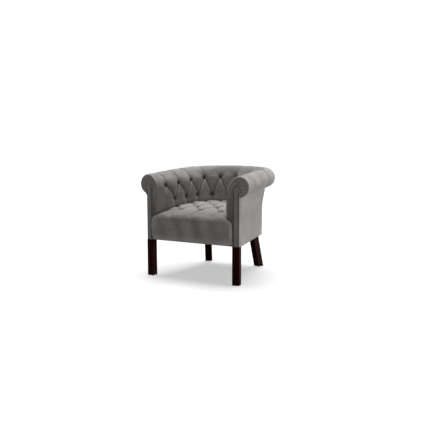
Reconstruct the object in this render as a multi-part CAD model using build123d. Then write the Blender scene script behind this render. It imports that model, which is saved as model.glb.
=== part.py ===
from build123d import *
import os
from math import asin, atan, atan2, cos, degrees, pi, radians, sin, sqrt, tan

os.makedirs("parts", exist_ok=True)

# ---------------------------------------------------------------- driving sizes
# Millimetres. +Z is up, the chair faces -Y. Sizes along Y start from the line through the two front legs.

# legs
LEG_WIDTH = 45
FRONT_LEG_X = 313
REAR_LEG_WIDTH = 48
LEG_EDGE_R = 1.5
REAR_LEG_TOP = (183, 536)
REAR_LEG_FOOT = (205, 590)
GLIDE_R = 11
GLIDE_THICK = 2
BODY_BOTTOM = 243

# roll that runs along the arms and the back
ROLL_R = 63
ROLL_HALF_WIDTH = 327.5
ROLL_TAPER = 2.8
ROLL_BACK = 600
ROLL_CORNER_R = 95
ROLL_BACK_R = 480
ROLL_FRONT_Z = 607
ROLL_BACK_Z = 655.5

# outside of the body at its bottom, and where it meets the roll
SKIRT_HALF_WIDTH = 333.5
SKIRT_TAPER = 9.5
SKIRT_BACK = 611
SKIRT_CORNER_R = 80
SKIRT_BACK_R = 700
FLARE_FROM_Z = 465
NECK_HALF_WIDTH = 335.5
NECK_TAPER = 5.3
NECK_BACK = 609
NECK_CORNER_R = 100
NECK_BACK_R = 489

# inner face of the padded arms and back, at its fullest
LINING_HALF_WIDTH = 245.5
LINING_TAPER = 10
LINING_BACK = 495
LINING_CORNER_R = 170
LINING_BACK_R = 210

# front of the arms
FACING_X = 316
FACING_Y = -14
FACING_TURN = 7
FACING_HALF_WIDTH = 20
FACING_HEAD_X = 6
FACING_HEAD_Z = 590
FACING_HEAD_R = 30
FACING_BOARD = 4
SCROLL_BOARD = 9
SCROLL_BOARD_R = 53
STILE_HALF_WIDTH = 15
STILE_IN = 4

# frame timber
RAIL_HEIGHT = 72
RAIL_THICK = 22
POST_WIDTH = 40
POST_X = 303
TOP_RAIL_IN = 36
TOP_RAIL_OUT = 5
TOP_RAIL_HEIGHT = 30
TOP_RAIL_DROP = 60.6
SLAT_HALF_WIDTH = 26
BACK_POST_HALF_WIDTH = 20

# sheet goods
COVER = 1.5
BOARD = 3
GAP = 0.3
DUST_COVER = 0.8
DECK_CLOTH = 1
STRAP = 1.6
STRAP_HALF_WIDTH = 25
STRAP_GAP = 0.9

# springs
SPRING_X = 104
SPRING_WIRE_R = 1.9
SPRING_HALF_WIDTH = 22
SPRING_PITCH = 30
TIE_WIRE_R = 1.2

# seat
SEAT_OVERHANG = 45
SEAT_CREST_Z = 424
SEAT_CROWN_Z = 468
SEAT_SIDE_DROP = 26
APRON_HALF_WIDTH = 290
APRON_BOTTOM = 246

# deep buttoning
BUTTON_R = 7
BUTTON_THICK = 5
PLEAT_ANGLE = 42
NAIL_R = 5
NAIL_HEIGHT = 2.6
NAIL_SHANK_R = 0.8
NAIL_SHANK = 5
NAIL_PITCH = 15.2
NAIL_ROW = 15
NAIL_HEAD_ROW_R = 24

BUTTON_SPACING = 129
UPPER_DEPTH = 31
UPPER_DROP = 11
UPPER_DIP = 0.025
UPPER_TILT = 0.3
LOWER_DEPTH = 13
LOWER_SHARE = 0.93
LOWER_Z = 505
LOWER_RISE = 0.03
DIMPLE = 55
LOW_PLEAT_LENGTH = 90
LOW_PLEAT_RISE = 8
PAD_BACK = 3.2
PAD_TURNS = (2, 11, 20, 28, 37, 45, 53, 62, 71, 80)
PAD = 34
FOAM_GAP = 0.8
LINING_TUCK = 18
SEAT_CROWN_RUN = 330
SEAT_TOP_YS = (110, 240, 370, 500)
SEAT_EDGE_RUN = 37
SEAT_FRONT_SLOPE = 0.2
SEAT_EDGE_DROP = 34
APRON_TUCK = 12
SEAT_SIDE_GAP = 4.6
SEAT_TUFT_DEPTH = 20
FRONT_PLEAT_DEPTH = 10

# ---------------------------------------------------------------- sizes that follow
FRONT_Y = -(ROLL_BACK + ROLL_R - SEAT_OVERHANG) / 2
SEAT_FRONT_Y = SEAT_EDGE_RUN - SEAT_OVERHANG
SLOPE = degrees(atan((ROLL_BACK_Z - ROLL_FRONT_Z) / ROLL_BACK))
RAIL_TOP = BODY_BOTTOM + RAIL_HEIGHT
RAIL_OUT = COVER + GAP + BOARD + GAP
RAIL_IN = RAIL_OUT + RAIL_THICK
NECK_DROP = ROLL_R - 0.5
SCROLL_BACK = COVER + GAP + SCROLL_BOARD
POST_FRONT = SCROLL_BACK + GAP
TIE_Z = RAIL_TOP + TIE_WIRE_R + 0.1
SPRING_Z = TIE_Z + TIE_WIRE_R + SPRING_WIRE_R + 0.2
CLIP_TOP = SPRING_Z + SPRING_WIRE_R + 1
DECK_Z = CLIP_TOP + GAP
FOAM_BOTTOM = DECK_Z + DECK_CLOTH + GAP


def save(name, part):
    """Moves a piece from the front legs' line to the middle of the chair and writes it."""
    placed = [Pos(0, FRONT_Y, 0) * solid for solid in part.solids()]
    export_step(placed[0] if len(placed) == 1 else Compound(placed), f"parts/{name}.step")


def both(part):
    """A piece of the right side with its mirror image on the left."""
    return Compound(part.solids() + mirror(part, about=Plane.YZ).solids())


def all_of(parts):
    """Several pieces of the right side with their mirror images, as one group."""
    return Compound([solid for part in parts for solid in both(part).solids()])


def save_pair(name, part):
    """Writes a piece of the right side and its mirror image as two nodes."""
    save("right_" + name, part)
    save("left_" + name, mirror(part, about=Plane.YZ))


# ---------------------------------------------------------------- outlines seen from above
class Outline:
    """A tub seen from above: straight arms, corner arcs and one back arc, each tangent to the next.

    half_width is at the front legs' line, and an inset moves the outline square to itself, inwards."""

    def __init__(self, half_width, taper, back, corner_r, back_r):
        self.turn = radians(taper)
        self.along = Vector(-sin(self.turn), cos(self.turn))
        self.out = Vector(cos(self.turn), sin(self.turn))
        self.start = Vector(half_width, 0)
        self.back_centre = Vector(0, back - back_r)
        self.corner_r = corner_r
        self.back_r = back_r
        aim = self.start - self.out * corner_r - self.back_centre
        lead = aim.dot(self.along)
        run = -lead + sqrt(lead**2 - aim.dot(aim) + (back_r - corner_r) ** 2)
        self.corner_centre = self.start - self.out * corner_r + self.along * run
        line = self.corner_centre - self.back_centre
        self.back_turn = atan2(line.Y, line.X)

    def on_arm(self, inset, y):
        start = self.start - self.out * inset
        return start + self.along * ((y - start.Y) / self.along.Y)

    def on_corner(self, inset, turn):
        return self.corner_centre + Vector(cos(turn), sin(turn)) * (self.corner_r - inset)

    def on_back(self, inset, x):
        radius = self.back_r - inset
        return self.back_centre + Vector(x, sqrt(radius**2 - x**2))

    def spot(self, inset, place):
        """A point and the outline's direction there: place is ("arm", y), ("corner", share) or ("back", x)."""
        part, where = place
        if part == "arm":
            return self.on_arm(inset, where), self.along
        if part == "corner":
            turn = self.turn + (self.back_turn - self.turn) * where
            return self.on_corner(inset, turn), Vector(-sin(turn), cos(turn))
        point = self.on_back(inset, where)
        out = (point - self.back_centre).normalized()
        return point, Vector(-out.Y, out.X)

    def edges(self, inset, part, front):
        """The outline's edges from the right to the left: part is arm (the right one), back or all."""
        corner_turn = (self.turn + self.back_turn) / 2
        arm_end = self.on_corner(inset, self.turn)
        middle = self.on_corner(inset, corner_turn)
        corner_end = self.on_corner(inset, self.back_turn)
        arm = [Line(self.on_arm(inset, front), arm_end)]
        if part == "arm":
            return arm
        corner = [ThreePointArc(arm_end, middle, corner_end)]
        back = [ThreePointArc(corner_end, self.on_back(inset, 0), flip(corner_end))]
        other = [ThreePointArc(flip(corner_end), flip(middle), flip(arm_end))]
        if part == "back":
            return corner + back + other
        return arm + corner + back + other + [Line(flip(arm_end), flip(self.on_arm(inset, front)))]

    def band(self, outer, inner, part="all", front=0):
        """The strip between two insets."""
        outside = self.edges(outer, part, front)
        inside = self.edges(inner, part, front)
        ends = [Line(outside[-1] @ 1, inside[-1] @ 1), Line(inside[0] @ 0, outside[0] @ 0)]
        return make_face(outside + ends + inside)

    def inside(self, inset, front):
        """Everything within an inset, closed across the front."""
        edges = self.edges(inset, "all", front)
        return make_face(edges + [Line(edges[-1] @ 1, edges[0] @ 0)])

    def patch(self, outer, inner, place, half_width):
        """A four-cornered strip between two insets, square to the outline at one place."""
        far, along = self.spot(outer, place)
        near, _ = self.spot(inner, place)
        side = along * half_width
        return make_face(Polyline(far - side, far + side, near + side, near - side, close=True))

    def reach(self, origin, turn):
        """How far a ray from a point inside runs to the outline, and the outline's own turn there."""
        ray = Vector(cos(turn), sin(turn))
        far = (self.start - origin).dot(self.out) / ray.dot(self.out)
        if (origin + ray * far).Y <= self.on_corner(0, self.turn).Y:
            return far, self.turn
        far = ray_to_circle(origin, ray, self.corner_centre, self.corner_r)
        line = origin + ray * far - self.corner_centre
        if atan2(line.Y, line.X) <= self.back_turn:
            return far, atan2(line.Y, line.X)
        far = ray_to_circle(origin, ray, self.back_centre, self.back_r)
        line = origin + ray * far - self.back_centre
        return far, atan2(line.Y, line.X)


def flip(point):
    return Vector(-point.X, point.Y, point.Z)


def ray_to_circle(origin, ray, centre, radius):
    """Length of a ray from inside a circle to the circle's far side."""
    aim = origin - centre
    lead = aim.dot(ray)
    return -lead + sqrt(max(lead**2 - aim.dot(aim) + radius**2, 0))


roll_line = Outline(ROLL_HALF_WIDTH, ROLL_TAPER, ROLL_BACK, ROLL_CORNER_R, ROLL_BACK_R)
skirt = Outline(SKIRT_HALF_WIDTH, SKIRT_TAPER, SKIRT_BACK, SKIRT_CORNER_R, SKIRT_BACK_R)
neck = Outline(NECK_HALF_WIDTH, NECK_TAPER, NECK_BACK, NECK_CORNER_R, NECK_BACK_R)
lining = Outline(LINING_HALF_WIDTH, LINING_TAPER, LINING_BACK, LINING_CORNER_R, LINING_BACK_R)

ARM_FRONT = -70


def level(z):
    return Plane((0, 0, z))


def sloped(drop):
    """The roll's own plane, which rises to the back, lowered by a drop."""
    rise = radians(SLOPE)
    return Plane((0, 0, ROLL_FRONT_Z - drop), x_dir=(1, 0, 0), z_dir=(0, -sin(rise), cos(rise)))


def roll_z(y):
    return ROLL_FRONT_Z + (ROLL_BACK_Z - ROLL_FRONT_Z) * y / ROLL_BACK


def facing_y(x, setback):
    """Where the arms' front plane, moved back by a setback, lies at a distance from the middle."""
    turn = radians(FACING_TURN)
    return FACING_Y + (abs(x) - FACING_X) * tan(turn) + setback / cos(turn)


def ahead(setback):
    """Everything in front of the arms' front planes, moved back by a setback."""
    side = 460
    outline = Polyline(
        (-side, facing_y(side, setback)),
        (0, facing_y(0, setback)),
        (side, facing_y(side, setback)),
        (side, -500),
        (-side, -500),
        close=True,
    )
    return extrude(make_face(outline), 1000)


def facing_plane(setback):
    """The right arm's front plane, seen from the front, with its origin on the floor at FACING_X."""
    turn = radians(FACING_TURN)
    origin = Vector(FACING_X, FACING_Y, 0) + Vector(-sin(turn), cos(turn), 0) * setback
    return Plane(origin, x_dir=(cos(turn), sin(turn), 0), z_dir=(sin(turn), -cos(turn), 0))


# ---------------------------------------------------------------- legs and feet
def front_leg():
    foot = RectangleRounded(LEG_WIDTH, LEG_WIDTH, LEG_EDGE_R)
    leg = extrude(foot, BODY_BOTTOM - GLIDE_THICK)
    return Pos(FRONT_LEG_X, 0, GLIDE_THICK) * Rot(0, 0, FACING_TURN) * leg


rear_lean = Vector(REAR_LEG_TOP[0] - REAR_LEG_FOOT[0], REAR_LEG_TOP[1] - REAR_LEG_FOOT[1], BODY_BOTTOM)
REAR_LEG_TURN = -degrees(atan2(-rear_lean.X, -rear_lean.Y))


def rear_leg():
    """A square leg raked back and splayed out, with level ends."""
    lean = rear_lean
    share = GLIDE_THICK / BODY_BOTTOM
    square = RectangleRounded(REAR_LEG_WIDTH, REAR_LEG_WIDTH, LEG_EDGE_R)
    foot = Pos(*REAR_LEG_FOOT, 0) * Rot(0, 0, REAR_LEG_TURN) * square
    return extrude(Pos(*(lean * share)) * foot, dir=lean.normalized(), amount=lean.length * (1 - share))


leg_spots = [Vector(FRONT_LEG_X, 0), Vector(*REAR_LEG_FOOT)]
right_front_leg = front_leg()
right_rear_leg = rear_leg()
glide = Cylinder(GLIDE_R, GLIDE_THICK, align=(Align.CENTER, Align.CENTER, Align.MIN))
glides = Compound([both(Pos(spot.X, spot.Y, 0) * glide) for spot in leg_spots])

# ---------------------------------------------------------------- seat frame
FRONT_RAIL_FACE = -10
post_centre = Vector(POST_X, facing_y(POST_X, POST_FRONT + POST_WIDTH / 2))
above_posts = extrude(sloped(TOP_RAIL_DROP) * Rectangle(1400, 1600), 400, dir=(0, 0, 1))


def post_block(grow):
    """A front post with a margin all round, longer than the post."""
    square = Rectangle(POST_WIDTH + 2 * grow, POST_WIDTH + 2 * grow)
    return extrude(Pos(post_centre.X, post_centre.Y, BODY_BOTTOM) * Rot(0, 0, FACING_TURN) * square, 400)


front_post = post_block(0) - above_posts
front_rail_box = Pos(0, FRONT_RAIL_FACE, BODY_BOTTOM) * Box(
    2 * FRONT_LEG_X, RAIL_THICK, RAIL_HEIGHT, align=(Align.CENTER, Align.MIN, Align.MIN)
)
front_rail = (front_rail_box - both(front_post)) & Box(2 * POST_X - POST_WIDTH + 6, 400, 1400)
side_rail = extrude(level(BODY_BOTTOM) * skirt.band(RAIL_OUT, RAIL_IN, "arm"), RAIL_HEIGHT)
side_rail = side_rail - ahead(POST_FRONT + POST_WIDTH)
back_rail = extrude(level(BODY_BOTTOM) * skirt.band(RAIL_OUT, RAIL_IN, "back"), RAIL_HEIGHT)

BLOCK_HEIGHT = 40
REAR_BLOCK_X = 125
REAR_BLOCK_Y = 475
REAR_BLOCK_CUT = 70
FRONT_BLOCK_REACH = 110
FRONT_BLOCK_DEPTH = 70
RAIL_INNER_Y = FRONT_RAIL_FACE + RAIL_THICK


def rear_block():
    """Corner block that fills the seat frame's rear corner and takes the rear leg's bolt."""
    slant = [(REAR_BLOCK_X, REAR_BLOCK_Y + REAR_BLOCK_CUT), (REAR_BLOCK_X + REAR_BLOCK_CUT, REAR_BLOCK_Y)]
    outside = [(SKIRT_HALF_WIDTH, REAR_BLOCK_Y), (SKIRT_HALF_WIDTH, SKIRT_BACK), (REAR_BLOCK_X, SKIRT_BACK)]
    corner = make_face(Polyline(*slant, *outside, close=True))
    within = skirt.inside(RAIL_IN, REAR_BLOCK_Y - RAIL_THICK)
    return extrude(level(BODY_BOTTOM) * (within & corner), BLOCK_HEIGHT)


def front_block():
    """Three-cornered block behind each front post."""
    side = skirt.on_arm(RAIL_IN, RAIL_INNER_Y + FRONT_BLOCK_DEPTH)
    near = (FRONT_LEG_X - FRONT_BLOCK_REACH, RAIL_INNER_Y)
    shape = Polyline(near, (side.X, RAIL_INNER_Y), (side.X, side.Y), close=True)
    block = extrude(level(BODY_BOTTOM) * make_face(shape), BLOCK_HEIGHT)
    return block - front_post


corner_blocks = [front_block(), rear_block()]


# ---------------------------------------------------------------- screws and bolts
def rod(start, end, radius):
    """A round bar from one point to another."""
    line = Vector(*end) - Vector(*start)
    return extrude(Plane(Vector(*start), z_dir=line.normalized()) * Circle(radius), line.length)


BOLT_R = 4
BOLT_IN_LEG = 45
BOLT_IN_BODY = 32
SCREW_R = 2.2
SCREW_HEAD_R = 4.2

front_bolt_spot = Vector((FRONT_LEG_X + POST_X) / 2, (post_centre.Y - POST_WIDTH / 2 + LEG_WIDTH / 2) / 2)
rear_bolt_spot = Vector(*REAR_LEG_TOP)


def leg_bolt(spot, clearance=0.0):
    low = (spot.X, spot.Y, BODY_BOTTOM - BOLT_IN_LEG - clearance)
    high = (spot.X, spot.Y, BODY_BOTTOM + BOLT_IN_BODY + clearance)
    return rod(low, high, BOLT_R + clearance / 5)


def bolt_holes():
    return [leg_bolt(spot, 0.5) for spot in (front_bolt_spot, rear_bolt_spot)]


def block_screw(head, tip, clearance=0.0):
    """Countersunk screw from a block's free face into the rail behind it."""
    line = (Vector(*tip) - Vector(*head)).normalized()
    sink = Cone(SCREW_HEAD_R + clearance, SCREW_R + clearance, SCREW_SINK)
    cone = Plane(Vector(*head), z_dir=line) * Pos(0, 0, SCREW_SINK / 2) * sink
    return rod(head, Vector(*tip) + line * clearance, SCREW_R + clearance) + cone


SCREW_Z = BODY_BOTTOM + BLOCK_HEIGHT / 2
SCREW_SINK = 3
SCREW_IN_RAIL = 15
SCREW_ROOM = 0.15
FRONT_SCREW_IN = 25
REAR_SCREW_IN = 20


def block_screws(clearance=0.0):
    """Screws of the right-hand blocks, into the front rail, the side rail and the back rail."""
    side_x = skirt.on_arm(RAIL_IN, RAIL_INNER_Y + FRONT_BLOCK_DEPTH).X
    front_x = FRONT_LEG_X - FRONT_BLOCK_REACH + FRONT_SCREW_IN
    slant = FRONT_BLOCK_DEPTH * FRONT_SCREW_IN / (side_x - FRONT_LEG_X + FRONT_BLOCK_REACH)
    side_y = REAR_BLOCK_Y + REAR_SCREW_IN
    side_tip = skirt.on_arm(RAIL_IN - SCREW_IN_RAIL, side_y)
    back_x = REAR_BLOCK_X + REAR_SCREW_IN
    back_tip = skirt.on_back(RAIL_IN - SCREW_IN_RAIL, back_x)
    ends = [
        ((front_x, RAIL_INNER_Y + slant), (front_x, RAIL_INNER_Y - SCREW_IN_RAIL)),
        ((REAR_BLOCK_X + REAR_BLOCK_CUT - REAR_SCREW_IN, side_y), (side_tip.X, side_tip.Y)),
        ((back_x, REAR_BLOCK_Y + REAR_BLOCK_CUT - REAR_SCREW_IN), (back_tip.X, back_tip.Y)),
    ]
    return [block_screw((*head, SCREW_Z), (*tip, SCREW_Z), clearance) for head, tip in ends]


def drilled(part, holes):
    for hole in holes:
        part = part - hole
    return part


screw_holes = block_screws(SCREW_ROOM)
front_block_part, rear_block_part = [drilled(block, screw_holes + bolt_holes()) for block in corner_blocks]
front_rail = front_rail - both(screw_holes[0])
side_rail = drilled(side_rail, screw_holes[1:])
back_rail = back_rail - both(Compound([s for hole in screw_holes[1:] for s in hole.solids()]))
front_post = drilled(front_post, bolt_holes())
right_front_leg = drilled(right_front_leg, bolt_holes())
right_rear_leg = drilled(right_rear_leg, bolt_holes())


# ---------------------------------------------------------------- upper frame
def upright(place, low, high, half_width):
    """A shaped post from the seat rail to the top rail: low and high are its insets there."""
    foot = level(RAIL_TOP) * skirt.patch(*low, place, half_width)
    knee = level(FLARE_FROM_Z) * skirt.patch(*low, place, half_width)
    head = sloped(TOP_RAIL_DROP) * neck.patch(*high, place, half_width)
    return loft([foot, knee, head], ruled=True)


BACK_POST_SET_IN = RAIL_OUT + 4
BACK_POST_EXTRA = 2
SLAT_SET_IN = RAIL_OUT + 2
post_low = (BACK_POST_SET_IN, RAIL_IN)
post_high = (BACK_POST_SET_IN, RAIL_IN + BACK_POST_EXTRA)
back_post = upright(("corner", 0.5), post_low, post_high, BACK_POST_HALF_WIDTH)
centre_slat = upright(("back", 0), (SLAT_SET_IN, RAIL_IN), (SLAT_SET_IN, RAIL_IN), SLAT_HALF_WIDTH)


def top_rail(part):
    strip = sloped(TOP_RAIL_DROP) * roll_line.band(-TOP_RAIL_OUT, TOP_RAIL_IN, part, ARM_FRONT)
    return extrude(strip, TOP_RAIL_HEIGHT, dir=(0, 0, 1)) - ahead(POST_FRONT)


def head_centre():
    """The roll's centre on the arm's front plane, as a distance from FACING_X and a height."""
    reach, _ = roll_line.reach(Vector(0, facing_y(0, 0)), radians(FACING_TURN))
    return reach - FACING_X / cos(radians(FACING_TURN)), roll_z(facing_y(ROLL_HALF_WIDTH, 0))


def scroll_board(clearance=0.0):
    """Plywood shape on the front of the arm: a stile with a round head inside the roll."""
    head_x, head_z = head_centre()
    low = BODY_BOTTOM - clearance
    stile = Pos(-STILE_IN, low) * Rectangle(
        2 * (STILE_HALF_WIDTH + clearance), head_z - low, align=(Align.CENTER, Align.MIN)
    )
    shape = stile + Pos(head_x, head_z) * Circle(SCROLL_BOARD_R + clearance)
    return extrude(facing_plane(SCROLL_BACK + clearance) * shape, SCROLL_BOARD + 2 * clearance)


# ---------------------------------------------------------------- outside boards and covers
def outside(outer, inner, part, bottom, top_drop):
    """A thin wall of the outside: upright at first, then flared out to the roll."""
    return loft(
        [
            level(bottom) * skirt.band(outer, inner, part, ARM_FRONT),
            level(FLARE_FROM_Z) * skirt.band(outer, inner, part, ARM_FRONT),
            sloped(top_drop) * neck.band(outer, inner, part, ARM_FRONT),
        ],
        ruled=True,
    )


OUTSIDE_FRONT = COVER + 2 * GAP


def outside_board(part):
    wall = outside(COVER + GAP, COVER + GAP + BOARD, part, BODY_BOTTOM, NECK_DROP + GAP)
    return wall - ahead(OUTSIDE_FRONT)


def outside_cover(part):
    wall = outside(0, COVER, part, BODY_BOTTOM, NECK_DROP + GAP)
    return wall - ahead(OUTSIDE_FRONT)


# ---------------------------------------------------------------- webbing
def strap(place, low=RAIL_IN + STRAP_GAP, high=TOP_RAIL_IN + STRAP_GAP):
    """Webbing strap, tacked to the inner faces of the seat rail and of the top rail."""
    return loft(
        [
            level(RAIL_TOP - 28) * skirt.patch(low, low + STRAP, place, STRAP_HALF_WIDTH),
            level(RAIL_TOP + 0.2) * skirt.patch(low, low + STRAP, place, STRAP_HALF_WIDTH),
            sloped(TOP_RAIL_DROP + 0.2) * roll_line.patch(high, high + STRAP, place, STRAP_HALF_WIDTH),
            sloped(TOP_RAIL_DROP - 20) * roll_line.patch(high, high + STRAP, place, STRAP_HALF_WIDTH),
        ],
        ruled=True,
    )


arm_straps = Compound([s for y in (140, 290) for s in strap(("arm", y)).solids()])
back_straps = Compound([s for x in (-SPRING_X, 0, SPRING_X) for s in strap(("back", x)).solids()])


# ---------------------------------------------------------------- springs
def spring_end(x):
    return skirt.on_back((RAIL_OUT + RAIL_IN) / 2, x).Y


def sinuous_spring(x):
    """A zigzag wire from the front rail to the back rail."""
    start = FRONT_RAIL_FACE + RAIL_THICK / 2
    rows = 2 * round((spring_end(x) - start) / SPRING_PITCH / 2) + 1
    pitch = (spring_end(x) - start) / (rows - 1)
    side = SPRING_HALF_WIDTH
    points = []
    for row in range(rows):
        sign = 1 if row % 2 == 0 else -1
        points.append((x - sign * side, start + row * pitch))
        points.append((x + sign * side, start + row * pitch))
    path = FilletPolyline(*points, radius=pitch / 2 * 0.96)
    path = Pos(0, 0, SPRING_Z) * path
    section = Plane(path @ 0, z_dir=path % 0) * Circle(SPRING_WIRE_R)
    return sweep(section, path=path)


def spring_clip(x, y):
    """Folded plate on the rail with the spring's end bar through it."""
    low = RAIL_TOP
    plate = Pos(x, y, low) * Box(14, 16, CLIP_TOP - low, align=(Align.CENTER, Align.CENTER, Align.MIN))
    bar = Pos(x, y, SPRING_Z) * Rot(0, 90, 0) * Cylinder(SPRING_WIRE_R + 0.15, 40)
    return plate - bar


SPRING_PLACES = [row * SPRING_X for row in (-1.5, -0.5, 0.5, 1.5)]
springs = Compound([s for x in SPRING_PLACES for s in sinuous_spring(x).solids()])
clips = Compound(
    [
        s
        for x in SPRING_PLACES
        for y in (FRONT_RAIL_FACE + RAIL_THICK / 2, spring_end(x))
        for s in spring_clip(x, y).solids()
    ]
)


def tie_wire(y):
    end = skirt.on_arm((RAIL_OUT + RAIL_IN) / 2, y)
    return rod((-end.X, y, TIE_Z), (end.X, y, TIE_Z), TIE_WIRE_R)


tie_wires = Compound([s for y in (170, 340) for s in tie_wire(y).solids()])
deck_front = FRONT_RAIL_FACE + 2
deck_cloth = extrude(level(DECK_Z) * skirt.inside(RAIL_IN + 4, deck_front), DECK_CLOTH) - both(front_post)
deck_cloth = deck_cloth - ahead(POST_FRONT)

LEG_ROOM = 3
DUST_COVER_IN = RAIL_OUT + 1
front_square = Rectangle(LEG_WIDTH + LEG_ROOM, LEG_WIDTH + LEG_ROOM)
rear_square = Rectangle(REAR_LEG_WIDTH + LEG_ROOM, REAR_LEG_WIDTH + LEG_ROOM)
leg_room = [
    extrude(Pos(FRONT_LEG_X, 0) * Rot(0, 0, FACING_TURN) * front_square, BODY_BOTTOM),
    extrude(Pos(*REAR_LEG_TOP) * Rot(0, 0, REAR_LEG_TURN) * rear_square, BODY_BOTTOM),
]
dust_shape = level(BODY_BOTTOM - DUST_COVER - GAP) * skirt.inside(DUST_COVER_IN, FRONT_RAIL_FACE)
dust_cover = extrude(dust_shape, DUST_COVER)
for room in leg_room:
    dust_cover = dust_cover - both(room)

# ---------------------------------------------------------------- deep-buttoned inside of the arms and back
# Each station is a cut through the padding: a point on the middle line and the cut's direction from there.
LINING_CENTRE = 306
BELLY_DROP = 90
SHOULDER_DROP = 35
PAD_BOTTOM = FOAM_BOTTOM


def stations(setback):
    front = (facing_y(0, setback), FACING_TURN)
    right = [front, (80, 5), (190, 3)] + [(LINING_CENTRE, turn) for turn in PAD_TURNS]
    return right + [(LINING_CENTRE, 90)] + [(y, 180 - turn) for y, turn in reversed(right)]


def pad_section(y, turn, inset, open_side):
    """The padding's outline at one station: inner face, shoulder, roll, and the way back behind them."""
    mirrored = turn > 90
    angle = radians(180 - turn if mirrored else turn)
    origin = Vector(0, y)
    far, far_turn = roll_line.reach(origin, angle)
    near, _ = lining.reach(origin, angle)
    edge, _ = neck.reach(origin, angle)
    stretch = 1 / cos(far_turn - angle)
    thick = far - near
    neck_u = far - edge
    sign = -1 if mirrored else 1
    out = Vector(sign * cos(angle), sin(angle))
    centre = origin + out * far
    z = roll_z(centre.Y)
    plane = Plane((centre.X, centre.Y, z), x_dir=(out.X, out.Y, 0), z_dir=(out.Y, -out.X, 0))
    bottom = PAD_BOTTOM - z - (6 if open_side else 0)
    radius = ROLL_R - inset
    shoulder = thick - 7 - inset
    rise = radius + SHOULDER_DROP
    top = [
        (-shoulder * cos(radians(a)), rise * sin(radians(a)) - SHOULDER_DROP) for a in (0, 25, 50, 72, 90)
    ]
    end_x = -neck_u + (5 if open_side else 3)
    end_turn = asin(end_x / stretch / radius)
    turns = [end_turn + (pi - end_turn) * (1 - k / 6) for k in range(7)]
    ring = [(radius * sin(t) * stretch, -radius * cos(t)) for t in turns]
    ring[0] = top[-1]
    finish = (-cos(end_turn) * stretch, -sin(end_turn))
    floor = -ROLL_R - 3 if open_side else -NECK_DROP
    back_x = -neck_u - (1 if open_side else 6)
    foot = (-(thick - LINING_TUCK - inset), bottom)
    loop = [
        ThreePointArc(foot, (-(thick - inset), -BELLY_DROP), top[0]),
        Spline(*top, tangents=[(0, 1), (1, 0)]),
        Spline(*ring, tangents=[(1, 0), finish]),
        Polyline(ring[-1], (ring[-1][0], floor), (back_x, floor), (back_x, bottom), foot),
    ]
    return plane * make_face(loop)


def padding(inset, setback=0.0, open_side=False):
    return loft([pad_section(y, turn, inset, open_side) for y, turn in stations(setback)], ruled=True)


pad_cavity = loft(
    [
        level(PAD_BOTTOM - 20) * skirt.band(-40, RAIL_IN + PAD_BACK, "all", ARM_FRONT),
        sloped(TOP_RAIL_DROP + GAP) * roll_line.band(-40, TOP_RAIL_IN + PAD_BACK, "all", ARM_FRONT),
    ],
    ruled=True,
)
rail_room = extrude(
    sloped(TOP_RAIL_DROP + 6) * roll_line.band(-TOP_RAIL_OUT - GAP, TOP_RAIL_IN + PAD_BACK, "all", ARM_FRONT),
    TOP_RAIL_HEIGHT + 6 + GAP,
    dir=(0, 0, 1),
)


# ---------------------------------------------------------------- buttons, dimples and pleats
def lining_spot(outward, distance):
    """A point beside the lining, a distance from the middle of the back, and the way to the sitter."""
    side = 1 if distance > 0 else -1
    left = abs(distance)
    arc_turn = pi / 2 - lining.back_turn
    radius = lining.back_r + outward
    if left < radius * arc_turn:
        turn = pi / 2 - left / radius
        point = lining.back_centre + Vector(cos(turn), sin(turn)) * radius
    else:
        left -= radius * arc_turn
        radius = lining.corner_r + outward
        arc_turn = lining.back_turn - lining.turn
        turn = lining.back_turn - left / radius
        if left < radius * arc_turn:
            point = lining.on_corner(-outward, turn)
        else:
            turn = lining.turn
            point = lining.on_corner(-outward, turn) - lining.along * (left - radius * arc_turn)
    out = Vector(cos(turn), sin(turn), 0)
    if side < 0:
        return flip(point), flip(out) * -1
    return point, out * -1


def back_button(row, number):
    """Seat of a button and its axis. The lower row's buttons stand between those of the upper row."""
    if row == "upper":
        distance = (number + 0.5) * BUTTON_SPACING
        point, towards = lining_spot(UPPER_DEPTH, distance)
        height = roll_z(point.Y) - UPPER_DROP - UPPER_DIP * (ROLL_BACK - point.Y)
        axis = (towards + Vector(0, 0, UPPER_TILT)).normalized()
    else:
        distance = number * BUTTON_SPACING
        point, towards = lining_spot(LOWER_DEPTH, distance * LOWER_SHARE)
        height = LOWER_Z + LOWER_RISE * point.Y
        axis = towards
    return Vector(point.X, point.Y, height), axis


def dimple(seat, axis, inset):
    """Cone-shaped hollow that the button pulls into the padding, opening towards the sitter."""
    low = BUTTON_R + 0.5 + inset * tan(radians(45 - PLEAT_ANGLE / 2))
    plane = Plane(seat - axis * inset, z_dir=axis)
    return plane * Pos(0, 0, DIMPLE / 2) * Cone(low, low + DIMPLE * tan(radians(PLEAT_ANGLE)), DIMPLE)


def groove(start, end, opening, inset):
    """V-shaped pleat along a straight line between two buttons."""
    line = end - start
    axis = line.normalized()
    up = (opening - axis * opening.dot(axis)).normalized()
    half = radians(PLEAT_ANGLE - 6)
    low = -inset / sin(half)
    width = (DIMPLE - low) * tan(half)
    plane = Plane(start, x_dir=up, z_dir=axis)
    wedge = make_face(Polyline((low, 0), (DIMPLE, width), (DIMPLE, -width), close=True))
    return extrude(plane * wedge, line.length)


upper_buttons = [back_button("upper", number) for number in range(-5, 5)]
lower_buttons = [back_button("lower", number) for number in range(-4, 5)]


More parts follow.
